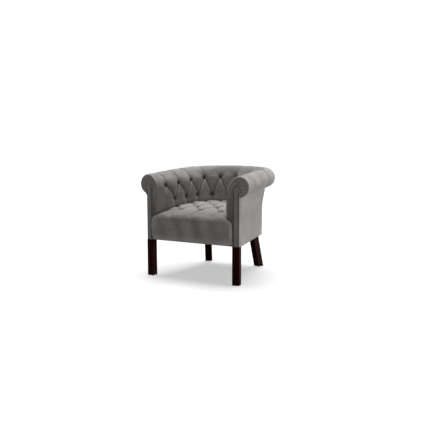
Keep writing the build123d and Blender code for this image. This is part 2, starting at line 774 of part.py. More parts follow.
def back_tufts(inset):
    """Everything that the buttons and pleats take out of the padding of the arms and back."""
    tools = [dimple(seat, axis, inset) for seat, axis in upper_buttons + lower_buttons]
    for number, (seat, axis) in enumerate(lower_buttons):
        for other, other_axis in upper_buttons[number : number + 2]:
            tools.append(groove(seat, other, axis + other_axis, inset))
        foot = seat + axis * LOW_PLEAT_RISE - Vector(0, 0, LOW_PLEAT_LENGTH)
        tools.append(groove(seat, foot, axis, inset))
    return tools


def dome(radius, base, rise):
    """Arc from the rim to the top of a round cap, part of a true ball."""
    ball = (radius**2 + rise**2) / (2 * rise)
    half = asin(radius / ball) / 2
    middle = (ball * sin(half), base + rise - ball + ball * cos(half))
    return ThreePointArc((radius, base), middle, (0, base + rise))


def knob():
    """Covered button: a low dome on a short flange."""
    rim = BUTTON_THICK * 0.4
    side = Polyline((0, BUTTON_THICK), (0, 0), (BUTTON_R, 0), (BUTTON_R, rim))
    return revolve(Plane.XZ * make_face([side, dome(BUTTON_R, rim, BUTTON_THICK - rim)]), Axis.Z)


def knobs(seats):
    places = [Plane(seat + axis * GAP, z_dir=axis) for seat, axis in seats]
    return Compound([solid for place in places for solid in (place * knob()).solids()])


def carve(body, tools):
    """Cuts the tools out one after the other and keeps the largest piece."""
    for tool in tools:
        body = body - tool
    return max(body.solids(), key=lambda solid: solid.volume)


def frame_room():
    """What the timber takes out of the padding."""
    post_room = post_block(GAP) - Pos(0, 0, GAP) * above_posts
    return [pad_cavity, rail_room, both(scroll_board(GAP)), both(post_room)]


def inside_cover():
    tufted = carve(padding(0), back_tufts(0))
    return carve(tufted, [padding(PAD, COVER + GAP, open_side=True)] + frame_room())


def inside_foam():
    return carve(padding(PAD + FOAM_GAP, SCROLL_BACK + GAP), frame_room())


# ---------------------------------------------------------------- seat
def seat_height(x, y):
    """Top of the seat: it rises from the front crest to a crown and falls off to both sides."""
    rise = sin(pi / 2 * min((y - SEAT_FRONT_Y) / SEAT_CROWN_RUN, 1.15))
    fall = SEAT_SIDE_DROP * (abs(x) / APRON_HALF_WIDTH) ** 2.2
    return SEAT_CREST_Z + (SEAT_CROWN_Z - SEAT_CREST_Z) * rise - fall


def seat_section(x, inset, face, low):
    """Side view of the seat's filling at a distance from the middle: face is where its front stands."""
    top = [(y, seat_height(x, y) - inset) for y in (face + SEAT_EDGE_RUN, *SEAT_TOP_YS)]
    crest = (face, top[0][1] - SEAT_EDGE_DROP)
    shoulder = (crest[0] + SEAT_EDGE_RUN * 0.28, crest[1] + SEAT_EDGE_DROP * 0.73)
    loop = [
        Line((face, low), crest),
        ThreePointArc(crest, shoulder, top[0]),
        Spline(*top, tangents=[(1, SEAT_FRONT_SLOPE), (1, 0)]),
        Polyline(top[-1], (SEAT_TOP_YS[-1], low), (face, low)),
    ]
    return Plane((x, 0, 0), x_dir=(0, 1, 0), z_dir=(1, 0, 0)) * make_face(loop)


def apron_section(x):
    """Side view of the padded apron in front of the front rail."""
    crest_z = seat_height(x, SEAT_FRONT_Y) - SEAT_EDGE_DROP
    foot = (-SEAT_OVERHANG + APRON_TUCK, APRON_BOTTOM)
    bulge = (-SEAT_OVERHANG + APRON_TUCK * 0.15, (APRON_BOTTOM + crest_z) / 2)
    back = FRONT_RAIL_FACE - GAP
    loop = [
        ThreePointArc(foot, bulge, (-SEAT_OVERHANG, crest_z)),
        Polyline((-SEAT_OVERHANG, crest_z), (back, crest_z), (back, APRON_BOTTOM), foot),
    ]
    return Plane((x, 0, 0), x_dir=(0, 1, 0), z_dir=(1, 0, 0)) * make_face(loop)


def across(section):
    """Lofts a side view over the seat's width."""
    return loft([section(APRON_HALF_WIDTH * share) for share in (-1, -0.75, -0.45, 0, 0.45, 0.75, 1)])


def seat_plan(inset):
    """The seat's shape from above: within the lining, and wider in front of the arms."""
    within = extrude(level(BODY_BOTTOM) * lining.inside(inset, -SEAT_OVERHANG - 20), 400)
    if inset > SEAT_SIDE_GAP:
        return within
    wide = Pos(0, -SEAT_OVERHANG, BODY_BOTTOM) * Box(
        2 * APRON_HALF_WIDTH, 2 * SEAT_OVERHANG, 400, align=(Align.CENTER, Align.CENTER, Align.MIN)
    )
    return within + (wide & ahead(-GAP))


def seat_tuft(x, y):
    seat = Vector(x, y, seat_height(x, y) - SEAT_TUFT_DEPTH)
    return seat, Vector(0, 0, 1)


SEAT_ROWS = [(100, (-150, 0, 150)), (185, (-75, 75)), (270, (-150, 0, 150)), (355, (-75, 75)), (425, (0,))]
seat_seats = [[seat_tuft(x, y) for x in places] for y, places in SEAT_ROWS]


def seat_tools(inset):
    """The dimples, the diamond pleats between them and the pleats that run over the front edge."""
    tools = [dimple(seat, axis, inset) for row in seat_seats for seat, axis in row]
    for row, following in zip(seat_seats, seat_seats[1:]):
        for seat, axis in row:
            for other, _ in following:
                if abs(seat.X - other.X) < 80:
                    tools.append(groove(seat, other, axis, inset))
    for seat, axis in seat_seats[0]:
        crest = Vector(seat.X, SEAT_FRONT_Y, seat_height(seat.X, SEAT_FRONT_Y) - FRONT_PLEAT_DEPTH)
        tools.append(groove(seat, crest, axis, inset))
    return tools


def seat_cover():
    top = across(lambda x: seat_section(x, 0, -SEAT_OVERHANG, FOAM_BOTTOM))
    room = across(lambda x: seat_section(x, PAD, FRONT_RAIL_FACE - GAP, FOAM_BOTTOM - 5))
    whole = (top + across(apron_section)) & seat_plan(SEAT_SIDE_GAP)
    return carve(whole, seat_tools(0) + [room & seat_plan(SEAT_SIDE_GAP + PAD)])


def seat_foam():
    filling = across(lambda x: seat_section(x, PAD + GAP, FRONT_RAIL_FACE, FOAM_BOTTOM))
    return filling & seat_plan(SEAT_SIDE_GAP + PAD + GAP)


# ---------------------------------------------------------------- facings and their nails
def keyhole(inset):
    """Outline of an arm's facing: a stile with a round head."""
    low = BODY_BOTTOM + inset
    stile = Pos(0, low) * Rectangle(
        2 * (FACING_HALF_WIDTH - inset), FACING_HEAD_Z - low, align=(Align.CENTER, Align.MIN)
    )
    return stile + Pos(FACING_HEAD_X, FACING_HEAD_Z) * Circle(FACING_HEAD_R - inset)


FACING_THICK = FACING_BOARD + COVER + 2 * GAP


def nail_places():
    """Nail centres on the facing: up the inner edge, round the head and down the outer edge."""
    radius = NAIL_HEAD_ROW_R
    rise_in = sqrt(radius**2 - (NAIL_ROW + FACING_HEAD_X) ** 2)
    rise_out = sqrt(radius**2 - (NAIL_ROW - FACING_HEAD_X) ** 2)
    start_turn = atan2(-rise_in, -NAIL_ROW - FACING_HEAD_X) + 2 * pi
    end_turn = atan2(-rise_out, NAIL_ROW - FACING_HEAD_X)
    low = BODY_BOTTOM + 9
    inner = FACING_HEAD_Z - rise_in - low
    ring = radius * (start_turn - end_turn)
    outer = FACING_HEAD_Z - rise_out - low
    total = inner + ring + outer
    count = round(total / NAIL_PITCH)
    places = []
    for number in range(count + 1):
        way = total * number / count
        if way < inner:
            places.append((-NAIL_ROW, low + way))
        elif way < inner + ring:
            turn = start_turn - (way - inner) / radius
            places.append((FACING_HEAD_X + radius * cos(turn), FACING_HEAD_Z + radius * sin(turn)))
        else:
            places.append((NAIL_ROW, low + total - way))
    return places


def nail():
    """Domed upholstery nail, its head's flat side on the origin."""
    shank = [(0, NAIL_HEIGHT), (0, -NAIL_SHANK), (NAIL_SHANK_R, -NAIL_SHANK), (NAIL_SHANK_R, 0)]
    outline = [Polyline(*shank, (NAIL_R, 0)), dome(NAIL_R, 0, NAIL_HEIGHT)]
    return revolve(Plane.XZ * make_face(outline), Axis.Z)


def nail_holes(plane):
    return [plane * Pos(x, z, 1) * Cylinder(NAIL_SHANK_R + 0.1, 2 * NAIL_SHANK + 4) for x, z in nail_places()]


facing_cover = extrude(facing_plane(-GAP) * keyhole(0), FACING_THICK - GAP)
facing_cover = facing_cover - extrude(facing_plane(0) * keyhole(COVER), FACING_THICK - COVER)
facing_board = extrude(facing_plane(-GAP) * keyhole(COVER + GAP), FACING_BOARD)
nail_plane = facing_plane(-FACING_THICK - 0.05)
holes = Compound([s for hole in nail_holes(nail_plane) for s in hole.solids()])
facing_cover = facing_cover - holes
facing_board = facing_board - holes
nails = Compound([s for x, z in nail_places() for s in (nail_plane * Pos(x, z, 0) * nail()).solids()])

if __name__ == "__main__":
    save_pair("front_leg", right_front_leg)
    save_pair("rear_leg", right_rear_leg)
    save("foot_glides", glides)
    save_pair("front_post", front_post)
    save("front_seat_rail", front_rail)
    save_pair("seat_rail", side_rail)
    save("back_seat_rail", back_rail)
    save("corner_blocks", all_of([front_block_part, rear_block_part]))
    save("corner_block_screws", all_of(block_screws()))
    save("leg_bolts", all_of([leg_bolt(front_bolt_spot), leg_bolt(rear_bolt_spot)]))
    save_pair("back_post", back_post)
    save("back_centre_slat", centre_slat)
    save_pair("arm_top_rail", top_rail("arm"))
    save("back_top_rail", top_rail("back"))
    save_pair("scroll_board", scroll_board())
    save_pair("outside_board", outside_board("arm"))
    save("back_outside_board", outside_board("back"))
    save_pair("outside_cover", outside_cover("arm"))
    save("back_outside_cover", outside_cover("back"))
    save_pair("arm_webbing", arm_straps)
    save("back_webbing", back_straps)
    save("seat_springs", springs)
    save("spring_clips", clips)
    save("spring_tie_wires", tie_wires)
    save("seat_deck_cloth", deck_cloth)
    save("dust_cover", dust_cover)
    save("inside_cover", inside_cover())
    save("inside_foam", inside_foam())
    save("back_buttons", knobs(upper_buttons + lower_buttons))
    save("seat_cover", seat_cover())
    save("seat_foam", seat_foam())
    save("seat_buttons", knobs([tuft for row in seat_seats for tuft in row]))
    save_pair("facing_cover", facing_cover)
    save_pair("facing_board", facing_board)
    save_pair("facing_nails", nails)
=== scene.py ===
from math import atan2, cos, pi, radians, sin, sqrt

import bmesh
import bpy
import numpy as np
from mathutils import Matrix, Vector

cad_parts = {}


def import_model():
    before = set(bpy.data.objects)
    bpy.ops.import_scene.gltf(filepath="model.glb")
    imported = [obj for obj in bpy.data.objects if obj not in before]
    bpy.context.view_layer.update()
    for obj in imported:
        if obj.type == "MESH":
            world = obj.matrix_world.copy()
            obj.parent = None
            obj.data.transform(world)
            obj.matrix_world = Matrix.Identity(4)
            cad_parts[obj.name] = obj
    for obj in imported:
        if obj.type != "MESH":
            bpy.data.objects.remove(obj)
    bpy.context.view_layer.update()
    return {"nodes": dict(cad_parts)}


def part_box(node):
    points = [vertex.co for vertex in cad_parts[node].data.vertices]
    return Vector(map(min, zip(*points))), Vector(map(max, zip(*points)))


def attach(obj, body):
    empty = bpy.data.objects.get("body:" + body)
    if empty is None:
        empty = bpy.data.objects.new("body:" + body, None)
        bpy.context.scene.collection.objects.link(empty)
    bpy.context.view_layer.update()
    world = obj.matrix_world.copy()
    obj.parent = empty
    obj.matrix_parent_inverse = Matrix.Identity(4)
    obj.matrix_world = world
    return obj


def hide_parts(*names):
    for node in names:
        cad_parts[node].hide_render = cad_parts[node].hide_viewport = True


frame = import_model()

# ---- sizes of the chair, in metres
# Sizes along Y start from the line through the two front legs, and place() moves them into the frame.
# A hollow's tuple gives its depth, its reach and the power of its fall.
leg_low, leg_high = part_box("right_front_leg")
FRONT_LINE_Y = (leg_low.y + leg_high.y) / 2

ROLL_R = 0.063
ROLL_BACK = 0.6
ROLL_FRONT_Z = 0.607
ROLL_BACK_Z = 0.6555
SHOULDER_DROP = 0.035
SHOULDER_IN = 0.007
BELLY_DROP = 0.09
LINING_TUCK = 0.018
PAD_BOTTOM = 0.324
PAD_WALL = 0.0335
NECK_CLEAR = 0.003

FACING_X = 0.316
FACING_Y = -0.014
FACING_TURN = radians(7)
FACING_HALF_WIDTH = 0.02
FACING_HEAD_X = 0.006
FACING_HEAD_Z = 0.59
FACING_HEAD_R = 0.03
FACING_THICK = 0.0061
# a facing's rings from its back edge to its face: how far inside the outline, and how far proud
FACING_RINGS = [(0.0, -0.0055), (0.0, -0.0015), (0.0004, -0.0002), (0.0014, 0.0007), (0.0028, 0.0008),
                (0.0042, 0.0001), (0.0056, 0.0001), (0.0072, 0.001), (0.0095, 0.0017), (0.0125, 0.0021)]
OUTLINE_STEPS = 40
BODY_BOTTOM = 0.243

# outside covers
SKIRT_FLARE_Z = 0.465
FLARE_ROUND = 0.03
OUTSIDE_FULL = 0.0065
FULL_FROM_FRONT = 0.06
FULL_FROM_TOP = 0.12
COVER = 0.0015
FRONT_COVER = 0.0035
FRONT_GAP = 0.0004
ROLL_GAP = 0.0003
BACK_SPLIT = 0.42
COVER_ROWS = 60
ARM_COLUMNS = 60
BACK_COLUMNS = 90
FIRST_SHARE = 0.003

# deep buttoning of the arms and the back
BUTTON_PITCH = 0.129
UPPER_SEAT = 0.031
UPPER_DROP = 0.002
UPPER_DIP = 0.025
LOWER_SEAT = 0.013
LOWER_SHARE = 0.93
LOWER_Z = 0.505
LOWER_RISE = 0.03
LAST_UPPER = 4.5
LAST_LOWER = 4
COLUMNS = 48
END_COLUMN = 248
ROWS_BELOW = 30
ROWS_BETWEEN = 24
ROWS_OVER = 64
EDGE_R = 0.009
EDGE_DEPTH = 0.014
EDGE_TURNS = [radians(turn) for turn in (14, 28, 42, 56, 70, 90)]
EDGE_RIM = 0.003
RIM_GAP = 0.0016
WALL_STAGES = np.array([0, 0.35, 0.7, 1, 1.35, 1.7, 2, 2.35, 2.7, 3])
WALL_SETBACK = 0.0113
STAGE_STEPS = 120
CLOSING_OUT = 0.004
CLOSING_DROP = 0.01
CLOSING_GAP = 0.001
UPPER_HOLLOW = ((0.0235, 0.024, 1.2), (0.015, 0.0115, 2.4))
LOWER_HOLLOW = ((0.021, 0.024, 1.2), (0.015, 0.0115, 2.4))
PLEAT_DEPTH = 0.019
PLEAT_RISE = 0.22
PLEAT_UNEVEN = 0.14
PLEAT_REACH_UPPER = 0.0145
PLEAT_REACH_LOWER = 0.0125
LIP = 0.0048
LIP_ASIDE = 0.0085
# pleats up and down from the buttons: least depth, what the button adds, over which run, and their reach
UP_PLEAT = (0.002, 0.015, 0.038, 0.0105)
DOWN_PLEAT = (0.005, 0.013, 0.06, 0.0125)
GATHERS = 9
GATHER_REACH = 0.026
UPPER_GATHER = 0.0007
LOWER_GATHER = 0.0006
PUFF = 0.0085
PUFF_RUN = 0.085
LAST_PUFF = 5.15
SEAM_DEPTH = 0.0014
SEAM_REACH = 0.004
SEAM_RUN = 0.03
RUMPLE = 0.001
SWAY = 0.0016
ROLL_SWELL = 0.0075
SWELL_FROM = 0.075
LAST_PLEAT = 5.165
# painted shade: how dark the lines along the pleats above and below the buttons and along the diagonals are
# painted
UPPER_PAINTED_SHADE_LINE = 0.42
LOWER_PAINTED_SHADE_LINE = 0.45
DIAGONAL_PAINTED_SHADE_LINE = 0.55
# how far the pile is painted lighter or darker: a painted highlight on the pleats' lips, random pile
# patches, on the back's middle columns painted light below the upper buttons, a painted shade band above
# them and painted light over the roll, and painted shade on the arms
MIDDLE_COLUMNS = 2.4
BELOW_TOP_PAINTED_LIGHT = 1.2
TOP_BAND_PAINTED_SHADE = 2.4
OVER_ROLL_PAINTED_LIGHT = 1.8
ARMS_PAINTED_SHADE = 0.45
LIP_PAINTED_HIGHLIGHT = 1.9
PATCHES_BRUSHED = 0.6
FOOT_SHADE_RUN = 0.026
BUTTON_R = 0.0075
BUTTON_SQUASH = 0.52
BUTTON_FOOT = 0.0012
# painted shade: the buttons are darkened as if shaded in their hollows
BUTTON_PAINTED_SHADE = 0.55

# seat and apron
SEAT_FRONT_Y = -0.008
SEAT_OVERHANG = 0.045
SEAT_CREST_Z = 0.424
SEAT_CROWN_Z = 0.468
SEAT_CROWN_RUN = 0.33
SEAT_SIDE_DROP = 0.012
SEAT_EDGE_DROP = 0.034
SEAT_BASE = 0.3255
SEAT_CORNER_TURN = radians(42)
SEAT_COLUMNS = 185
SEAT_TOP_ROWS = 150
SEAT_EDGE_ROWS = 20
SEAT_OUT = 0.0015
SEAT_GAP = 0.0015
SEAT_ROUND = 0.016
ROUND_RUN = 0.07
SEAT_PUFF = 0.0085
SEAT_RUMPLE = 0.0012
SEAT_CRINKLE = 0.0006
APRON_HALF_WIDTH = 0.2955
APRON_ROWS = 40
APRON_TUCK = 0.012
APRON_BELLY = 0.0025
APRON_BOTTOM_Z = 0.2475
APRON_ARCH = 0.0065
APRON_TURN_Z = 0.2436
APRON_BACKS = (-0.0108, -0.0182)
APRON_BACK_X = 0.268
APRON_FADE = (0.8, 0.5, 0.2, 0, 0)
EAR_SHARE = 0.84
EAR_ROUND = 0.034
EAR_DROP = 0.034
EAR_FALL = 0.105
EAR_FALL_RUN = 0.12
EAR_GAP = 0.0035
EAR_BACK = 0.017
EAR_INSIDE = (0.246, -0.0235)
EAR_OUTSIDE = (APRON_HALF_WIDTH - 0.001, -0.0185)
EAR_BASE = 0.245
BASE_STEP = 0.02
TUFT_ROWS = [(0.1, (-0.15, 0, 0.15)), (0.185, (-0.075, 0.075)), (0.27, (-0.15, 0, 0.15)),
             (0.355, (-0.075, 0.075)), (0.425, (0,))]
TUFT_STEP = 0.075
TUFT_APART = 0.09
TUFT_WIDE = 0.8
TUFT_HOLLOW = ((0.026, 0.021, 1.2), (0.012, 0.012, 2.4))
# pleats of the seat: between tufts, from the tufts to the sides, and from the front tufts over the edge
FOLD = (0.0185, 0.0105)
SIDE_FOLD = (0.015, 0.0105)
FRONT_FOLD = (0.013, 0.009)
SIDE_FOLDS = [((0.15, 0.1), (0.245, 0.045)), ((0.15, 0.1), (0.235, 0.185)),
              ((0.15, 0.27), (0.235, 0.185)), ((0.15, 0.27), (0.205, 0.33)),
              ((0.075, 0.355), (0.15, 0.43)), ((0.0, 0.425), (0.07, 0.5))]
FRONT_FOLD_END = -0.03
FOLD_CUSP = 0.0015
APRON_GROOVE = (0.007, 0.016)
APRON_PATCHES = 0.003
# how far the seat and apron are painted lighter or darker: painted light on the low apron and towards the
# seat's rear, painted shade on the seat's front edge and in its creases
BAND_WIDTH = 0.128
LOW_APRON_PAINTED_LIGHT = 2.3
BEHIND_FRONT_PAINTED_LIGHT = 2.2
REAR_PAINTED_LIGHT = 0.7
FRONT_EDGE_PAINTED_SHADE = 1.4
SEAT_CREASE_PAINTED_SHADE = 1.6

# hidden cloths
LONGEST_EDGE = 0.03
DUST_COVER_SAG = 0.004

# light and camera
AMBIENT = 0.13
FLOOR_SEEN = 0.62
FLOOR_GLOW = 0.49
FLOOR_BOUNCE = 0.32
CAMERA_AT = Vector((1.769, -3.324, 0.846))
CAMERA_TO = Vector((0.1434, -0.2336, 0.402))
CAMERA_LENS = 45.65


class Tub:
    """A horseshoe line from above: straight arms, corner arcs and a back arc."""

    def __init__(self, half_width, taper, back, corner_r, back_r):
        self.turn = radians(taper)
        self.out = np.array([cos(self.turn), sin(self.turn)])
        self.along = np.array([-sin(self.turn), cos(self.turn)])
        self.start = np.array([half_width, 0.0])
        self.back_centre = np.array([0.0, back - back_r])
        self.corner_r = corner_r
        self.back_r = back_r
        aim = self.start - self.out * corner_r - self.back_centre
        lead = aim @ self.along
        run = sqrt(lead**2 - aim @ aim + (back_r - corner_r) ** 2) - lead
        self.corner_centre = self.start - self.out * corner_r + self.along * run
        line = self.corner_centre - self.back_centre
        self.back_turn = atan2(line[1], line[0])
        self.arcs = ((back_r, pi / 2 - self.back_turn), (corner_r, self.back_turn - self.turn))
        self.arm_end = self.corner_centre + self.out * corner_r

    def walk(self, distance, outward=0.0):
        """Points at distances from the back's middle, and their outward angle."""
        spans = [(radius + outward) * turn for radius, turn in self.arcs]
        on_back = distance < spans[0]
        corner_turn = self.back_turn - (distance - spans[0]) / (self.corner_r + outward)
        back_turn = pi / 2 - distance / (self.back_r + outward)
        turn = np.where(on_back, back_turn, np.maximum(corner_turn, self.turn))
        centre = np.where(on_back[..., None], self.back_centre, self.corner_centre)
        radius = np.where(on_back, self.back_r, self.corner_r) + outward
        rest = np.maximum(distance - sum(spans), 0)
        return centre + way(turn) * radius[..., None] - self.along * rest[..., None], turn

    def reach(self, origin, aim):
        """How far rays run to the line's right half, and its outward angle there."""
        arm = (self.start - origin) @ self.out / (aim @ self.out)
        corner = to_circle(origin, aim, self.corner_centre, self.corner_r)
        back = to_circle(origin, aim, self.back_centre, self.back_r)
        at_corner = angle(origin + aim * corner[..., None] - self.corner_centre)
        at_back = angle(origin + aim * back[..., None] - self.back_centre)
        far = self.pick(at_corner, arm, corner, back)
        return far, self.pick(at_corner, self.turn, at_corner, at_back)

    def pick(self, turn, arm, corner, back):
        """The value of the part that an outward angle falls in."""
        return np.where(turn < self.turn, arm, np.where(turn > self.back_turn, back, corner))

    def depth(self, x, y):
        """How far points lie inside the line."""
        point = np.stack([np.abs(x), y], -1)
        turn = angle(point - self.corner_centre)
        arm = (self.start - point) @ self.out
        corner = self.corner_r - np.linalg.norm(point - self.corner_centre, axis=-1)
        back = self.back_r - np.linalg.norm(point - self.back_centre, axis=-1)
        return self.pick(turn, arm, corner, back)


def way(turn):
    return np.stack([np.cos(turn), np.sin(turn)], -1)


def angle(line):
    return np.arctan2(line[..., 1], line[..., 0])


def to_circle(origin, aim, centre, radius):
    """Length of rays to the far side of a circle."""
    line = origin - centre
    lead = (line * aim).sum(-1)
    return -lead + np.sqrt(np.maximum(lead**2 - (line * line).sum(-1) + radius**2, 0))


def unit(vectors):
    return vectors / np.maximum(np.linalg.norm(vectors, axis=-1, keepdims=True), 1e-12)


def ramp(value, run=1.0):
    """Rises from 0 to 1 over a run."""
    return np.clip(value / run, 0, 1)


roll_line = Tub(0.3275, 2.8, ROLL_BACK, 0.095, 0.48)
skirt = Tub(0.3335, 9.5, 0.611, 0.08, 0.7)
neck = Tub(0.3355, 5.3, 0.609, 0.1, 0.489)
lining = Tub(0.2455, 10, 0.495, 0.17, 0.21)


def roll_z(y):
    return ROLL_FRONT_Z + (ROLL_BACK_Z - ROLL_FRONT_Z) * y / ROLL_BACK


def facing_y(x, setback=0.0):
    """Where the arms' front plane, moved back, lies at a distance from the middle."""
    return FACING_Y + (abs(x) - FACING_X) * np.tan(FACING_TURN) + setback / cos(FACING_TURN)


def place(points):
    """From the front legs' line into the frame."""
    return np.asarray(points, float) + (0, FRONT_LINE_Y, 0)


# ---- meshes
def grid_faces(index):
    """Quads between the points of a grid of point numbers."""
    corners = [index[:-1, :-1], index[:-1, 1:], index[1:, 1:], index[1:, :-1]]
    return np.stack(corners, -1).reshape(-1, 4).tolist()


def numbers(grid, first=0):
    """The numbers of a grid's points, counted from the first."""
    rows, columns = grid.shape[:2]
    return np.arange(rows * columns).reshape(rows, columns) + first


def loop(*runs):
    """One face round runs of point numbers."""
    return np.concatenate(runs).tolist()


def closed_piece(name, points, faces, cloth, stands_for, painted_shade=None, pile_and_painted_light=None):
    """A closed cloth piece. It keeps each point's painted shade, and its pile tone with painted light and
    shade.
    """
    mesh = bpy.data.meshes.new(name)
    mesh.from_pydata(place(points).tolist(), [], faces)
    for layer_name, values in (("painted_shade", painted_shade), ("pile_and_painted_light", pile_and_painted_light)):
        if values is not None:
            values = np.concatenate([values.ravel(), np.zeros(len(points) - values.size)])
            layer = mesh.attributes.new(layer_name, "FLOAT", "POINT")
            layer.data.foreach_set("value", values.astype(np.float32))
    work = bmesh.new()
    work.from_mesh(mesh)
    bmesh.ops.recalc_face_normals(work, faces=work.faces)
    for face in work.faces:
        face.smooth = True
    work.to_mesh(mesh)
    work.free()
    return finish_piece(name, mesh, cloth, stands_for)


def finish_piece(name, mesh, material, stands_for):
    """Makes a mesh a piece of the chair, in the place of some nodes."""
    mesh.materials.append(material)
    piece = bpy.data.objects.new(name, mesh)
    bpy.context.scene.collection.objects.link(piece)
    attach(piece, "root")
    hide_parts(*stands_for)
    return piece


def surface_normals(grid):
    across = np.gradient(grid, axis=1)
    up = np.gradient(grid, axis=0)
    return unit(np.cross(across, up))


def ripple(a, b, seed):
    """A smooth uneven value from -1 to 1, the same on each run."""
    return (np.sin(a * 1.31 + seed) + np.sin(b * 1.73 + 2.1 * seed) + np.sin(0.83 * (a + b) - 1.3 * seed)
            + np.sin(2.3 * a - 1.9 * b + 0.7 * seed)) / 4


def to_line(x, y, end_x, end_y):
    """How far points lie from a line from the origin, on which side, and how far along."""
    share = ramp(x * end_x + y * end_y, end_x**2 + end_y**2)
    aside = np.hypot(x - share * end_x, y - share * end_y)
    return aside, np.sign(end_x * y - end_y * x), share


def deepest(depths, power=4):
    """Several hollows as one, with soft meetings."""
    return sum(np.maximum(depth, 0) ** power for depth in depths) ** (1 / power)


def hollow(distance, parts):
    """How deep a button's hollow is at distances from it."""
    return sum(depth * np.exp(-((distance / reach) ** power)) for depth, reach, power in parts)


# ---- arms and back
ARCS = sum(radius * turn for radius, turn in lining.arcs)


def front_distance(setback):
    """Distance along the lining from the back's middle to the arms' front plane."""
    slope = np.tan(FACING_TURN)
    end = lining.arm_end
    fall = end[1] - FACING_Y - (end[0] - FACING_X) * slope - setback / cos(FACING_TURN)
    return ARCS + fall / (lining.along[1] - lining.along[0] * slope)


def along_lining(walked, outward):
    """Distance on the lining of a walk on a line outwards of it."""
    total, left = 0.0, walked
    for radius, turn in lining.arcs:
        part = np.minimum(left, (radius + outward) * turn)
        total = total + part * radius / (radius + outward)
        left = left - part
    return total + left


def column_distance(number, upper):
    """Where a column, counted in button pitches, stands along the lining on one of the rows."""
    share, seat_out = (1.0, UPPER_SEAT) if upper else (LOWER_SHARE, LOWER_SEAT)
    end = END_COLUMN / COLUMNS
    spare = front_distance(EDGE_DEPTH) - along_lining(end * BUTTON_PITCH * share, seat_out)
    past = np.maximum(number - LAST_LOWER, 0) / (end - LAST_LOWER)
    return along_lining(number * BUTTON_PITCH * share, seat_out) + spare * past**2


def middle_distance(count):
    """Where a column stands halfway between the two rows of buttons."""
    return (column_distance(count, True) + column_distance(count, False)) / 2


def pad_surface(distance, stage, inset=0.0):
    """Points of the padding, right arm and half the back.

    Stage 0 to 1 climbs the inner face, 1 to 2 goes over the shoulder, 2 to 3 round the roll's outside."""
    spot, turn = lining.walk(distance)
    front = front_distance(0.0)
    turn = turn - (lining.turn - FACING_TURN) * ramp(distance - ARCS, front - ARCS)
    aim = way(turn)
    thick, roll_turn = roll_line.reach(spot, aim)
    edge, _ = neck.reach(spot, aim)
    neck_out = edge - thick
    stretch = 1 / np.cos(roll_turn - turn)
    centre = spot + aim * thick[..., None]
    height = roll_z(centre[..., 1])

    foot = PAD_BOTTOM - height
    low = foot + (-SHOULDER_DROP - foot) * ramp(stage)
    foot_share = (low + BELLY_DROP) * (low + SHOULDER_DROP) / ((foot + BELLY_DROP) * (foot + SHOULDER_DROP))
    top_share = (low - foot) * (low + BELLY_DROP) / ((-SHOULDER_DROP - foot) * (BELLY_DROP - SHOULDER_DROP))
    tuck = LINING_TUCK * foot_share + SHOULDER_IN * top_share
    face_out = -(thick - tuck - inset)

    climb = ramp(stage - 1) * pi / 2
    over_out = -(thick - SHOULDER_IN - inset) * np.cos(climb)
    over = (ROLL_R - inset + SHOULDER_DROP) * np.sin(climb) - SHOULDER_DROP

    radius = ROLL_R - inset
    end_turn = np.arcsin((neck_out + NECK_CLEAR) / stretch / radius)
    round_turn = pi - (pi - end_turn) * ramp(stage - 2)
    ring_out = radius * np.sin(round_turn) * stretch
    ring = -radius * np.cos(round_turn)

    out = np.where(stage < 1, face_out, np.where(stage < 2, over_out, ring_out))
    up = np.where(stage < 1, low, np.where(stage < 2, over, ring))
    flat = centre + aim * out[..., None]
    return np.concatenate([flat, (height + up)[..., None]], -1)


def lengths_along(points):
    """Distance walked along the first axis of a table of points."""
    steps = np.linalg.norm(np.diff(points, axis=0), axis=-1)
    return np.concatenate([np.zeros((1,) + steps.shape[1:]), np.cumsum(steps, 0)])


def pad_grid():
    """The padding before it is buttoned, with each point's place in the pattern."""
    number = np.arange(-END_COLUMN, END_COLUMN + 1) / COLUMNS
    count = np.abs(number)
    fine = np.linspace(0, 3, 3 * STAGE_STEPS + 1)
    column_distances, stages = np.meshgrid(middle_distance(count), fine)
    section = pad_surface(column_distances, stages)
    length = lengths_along(section)
    deep = section[..., 1]
    lower_z = LOWER_Z + LOWER_RISE * deep[STAGE_STEPS // 2]
    upper_z = roll_z(deep[STAGE_STEPS]) - UPPER_DROP - UPPER_DIP * (ROLL_BACK - deep[STAGE_STEPS])
    climbing = slice(2 * STAGE_STEPS + 1)
    stage, height, gap = [], [], []
    for column in range(len(number)):
        line = length[:, column]
        at_lower = np.interp(lower_z[column], section[climbing, column, 2], line[climbing])
        at_upper = np.interp(upper_z[column], section[climbing, column, 2], line[climbing])
        goals = np.concatenate([
            np.linspace(0, at_lower, ROWS_BELOW + 1),
            np.linspace(at_lower, at_upper, ROWS_BETWEEN + 1)[1:],
            np.linspace(at_upper, line[-1], ROWS_OVER + 1)[1:],
        ])
        stage.append(np.interp(goals, line, fine))
        height.append(goals - at_lower)
        gap.append(np.full_like(goals, at_upper - at_lower))
    stage, height, gap = np.array([stage, height, gap]).transpose(0, 2, 1)
    share = ramp(height, gap)
    counts = np.broadcast_to(count, stage.shape)
    spread = column_distance(counts, False) * (1 - share) + column_distance(counts, True) * share
    points = pad_surface(spread, stage)
    points[:, :END_COLUMN, 0] *= -1
    return points, np.broadcast_to(number, stage.shape), height, gap


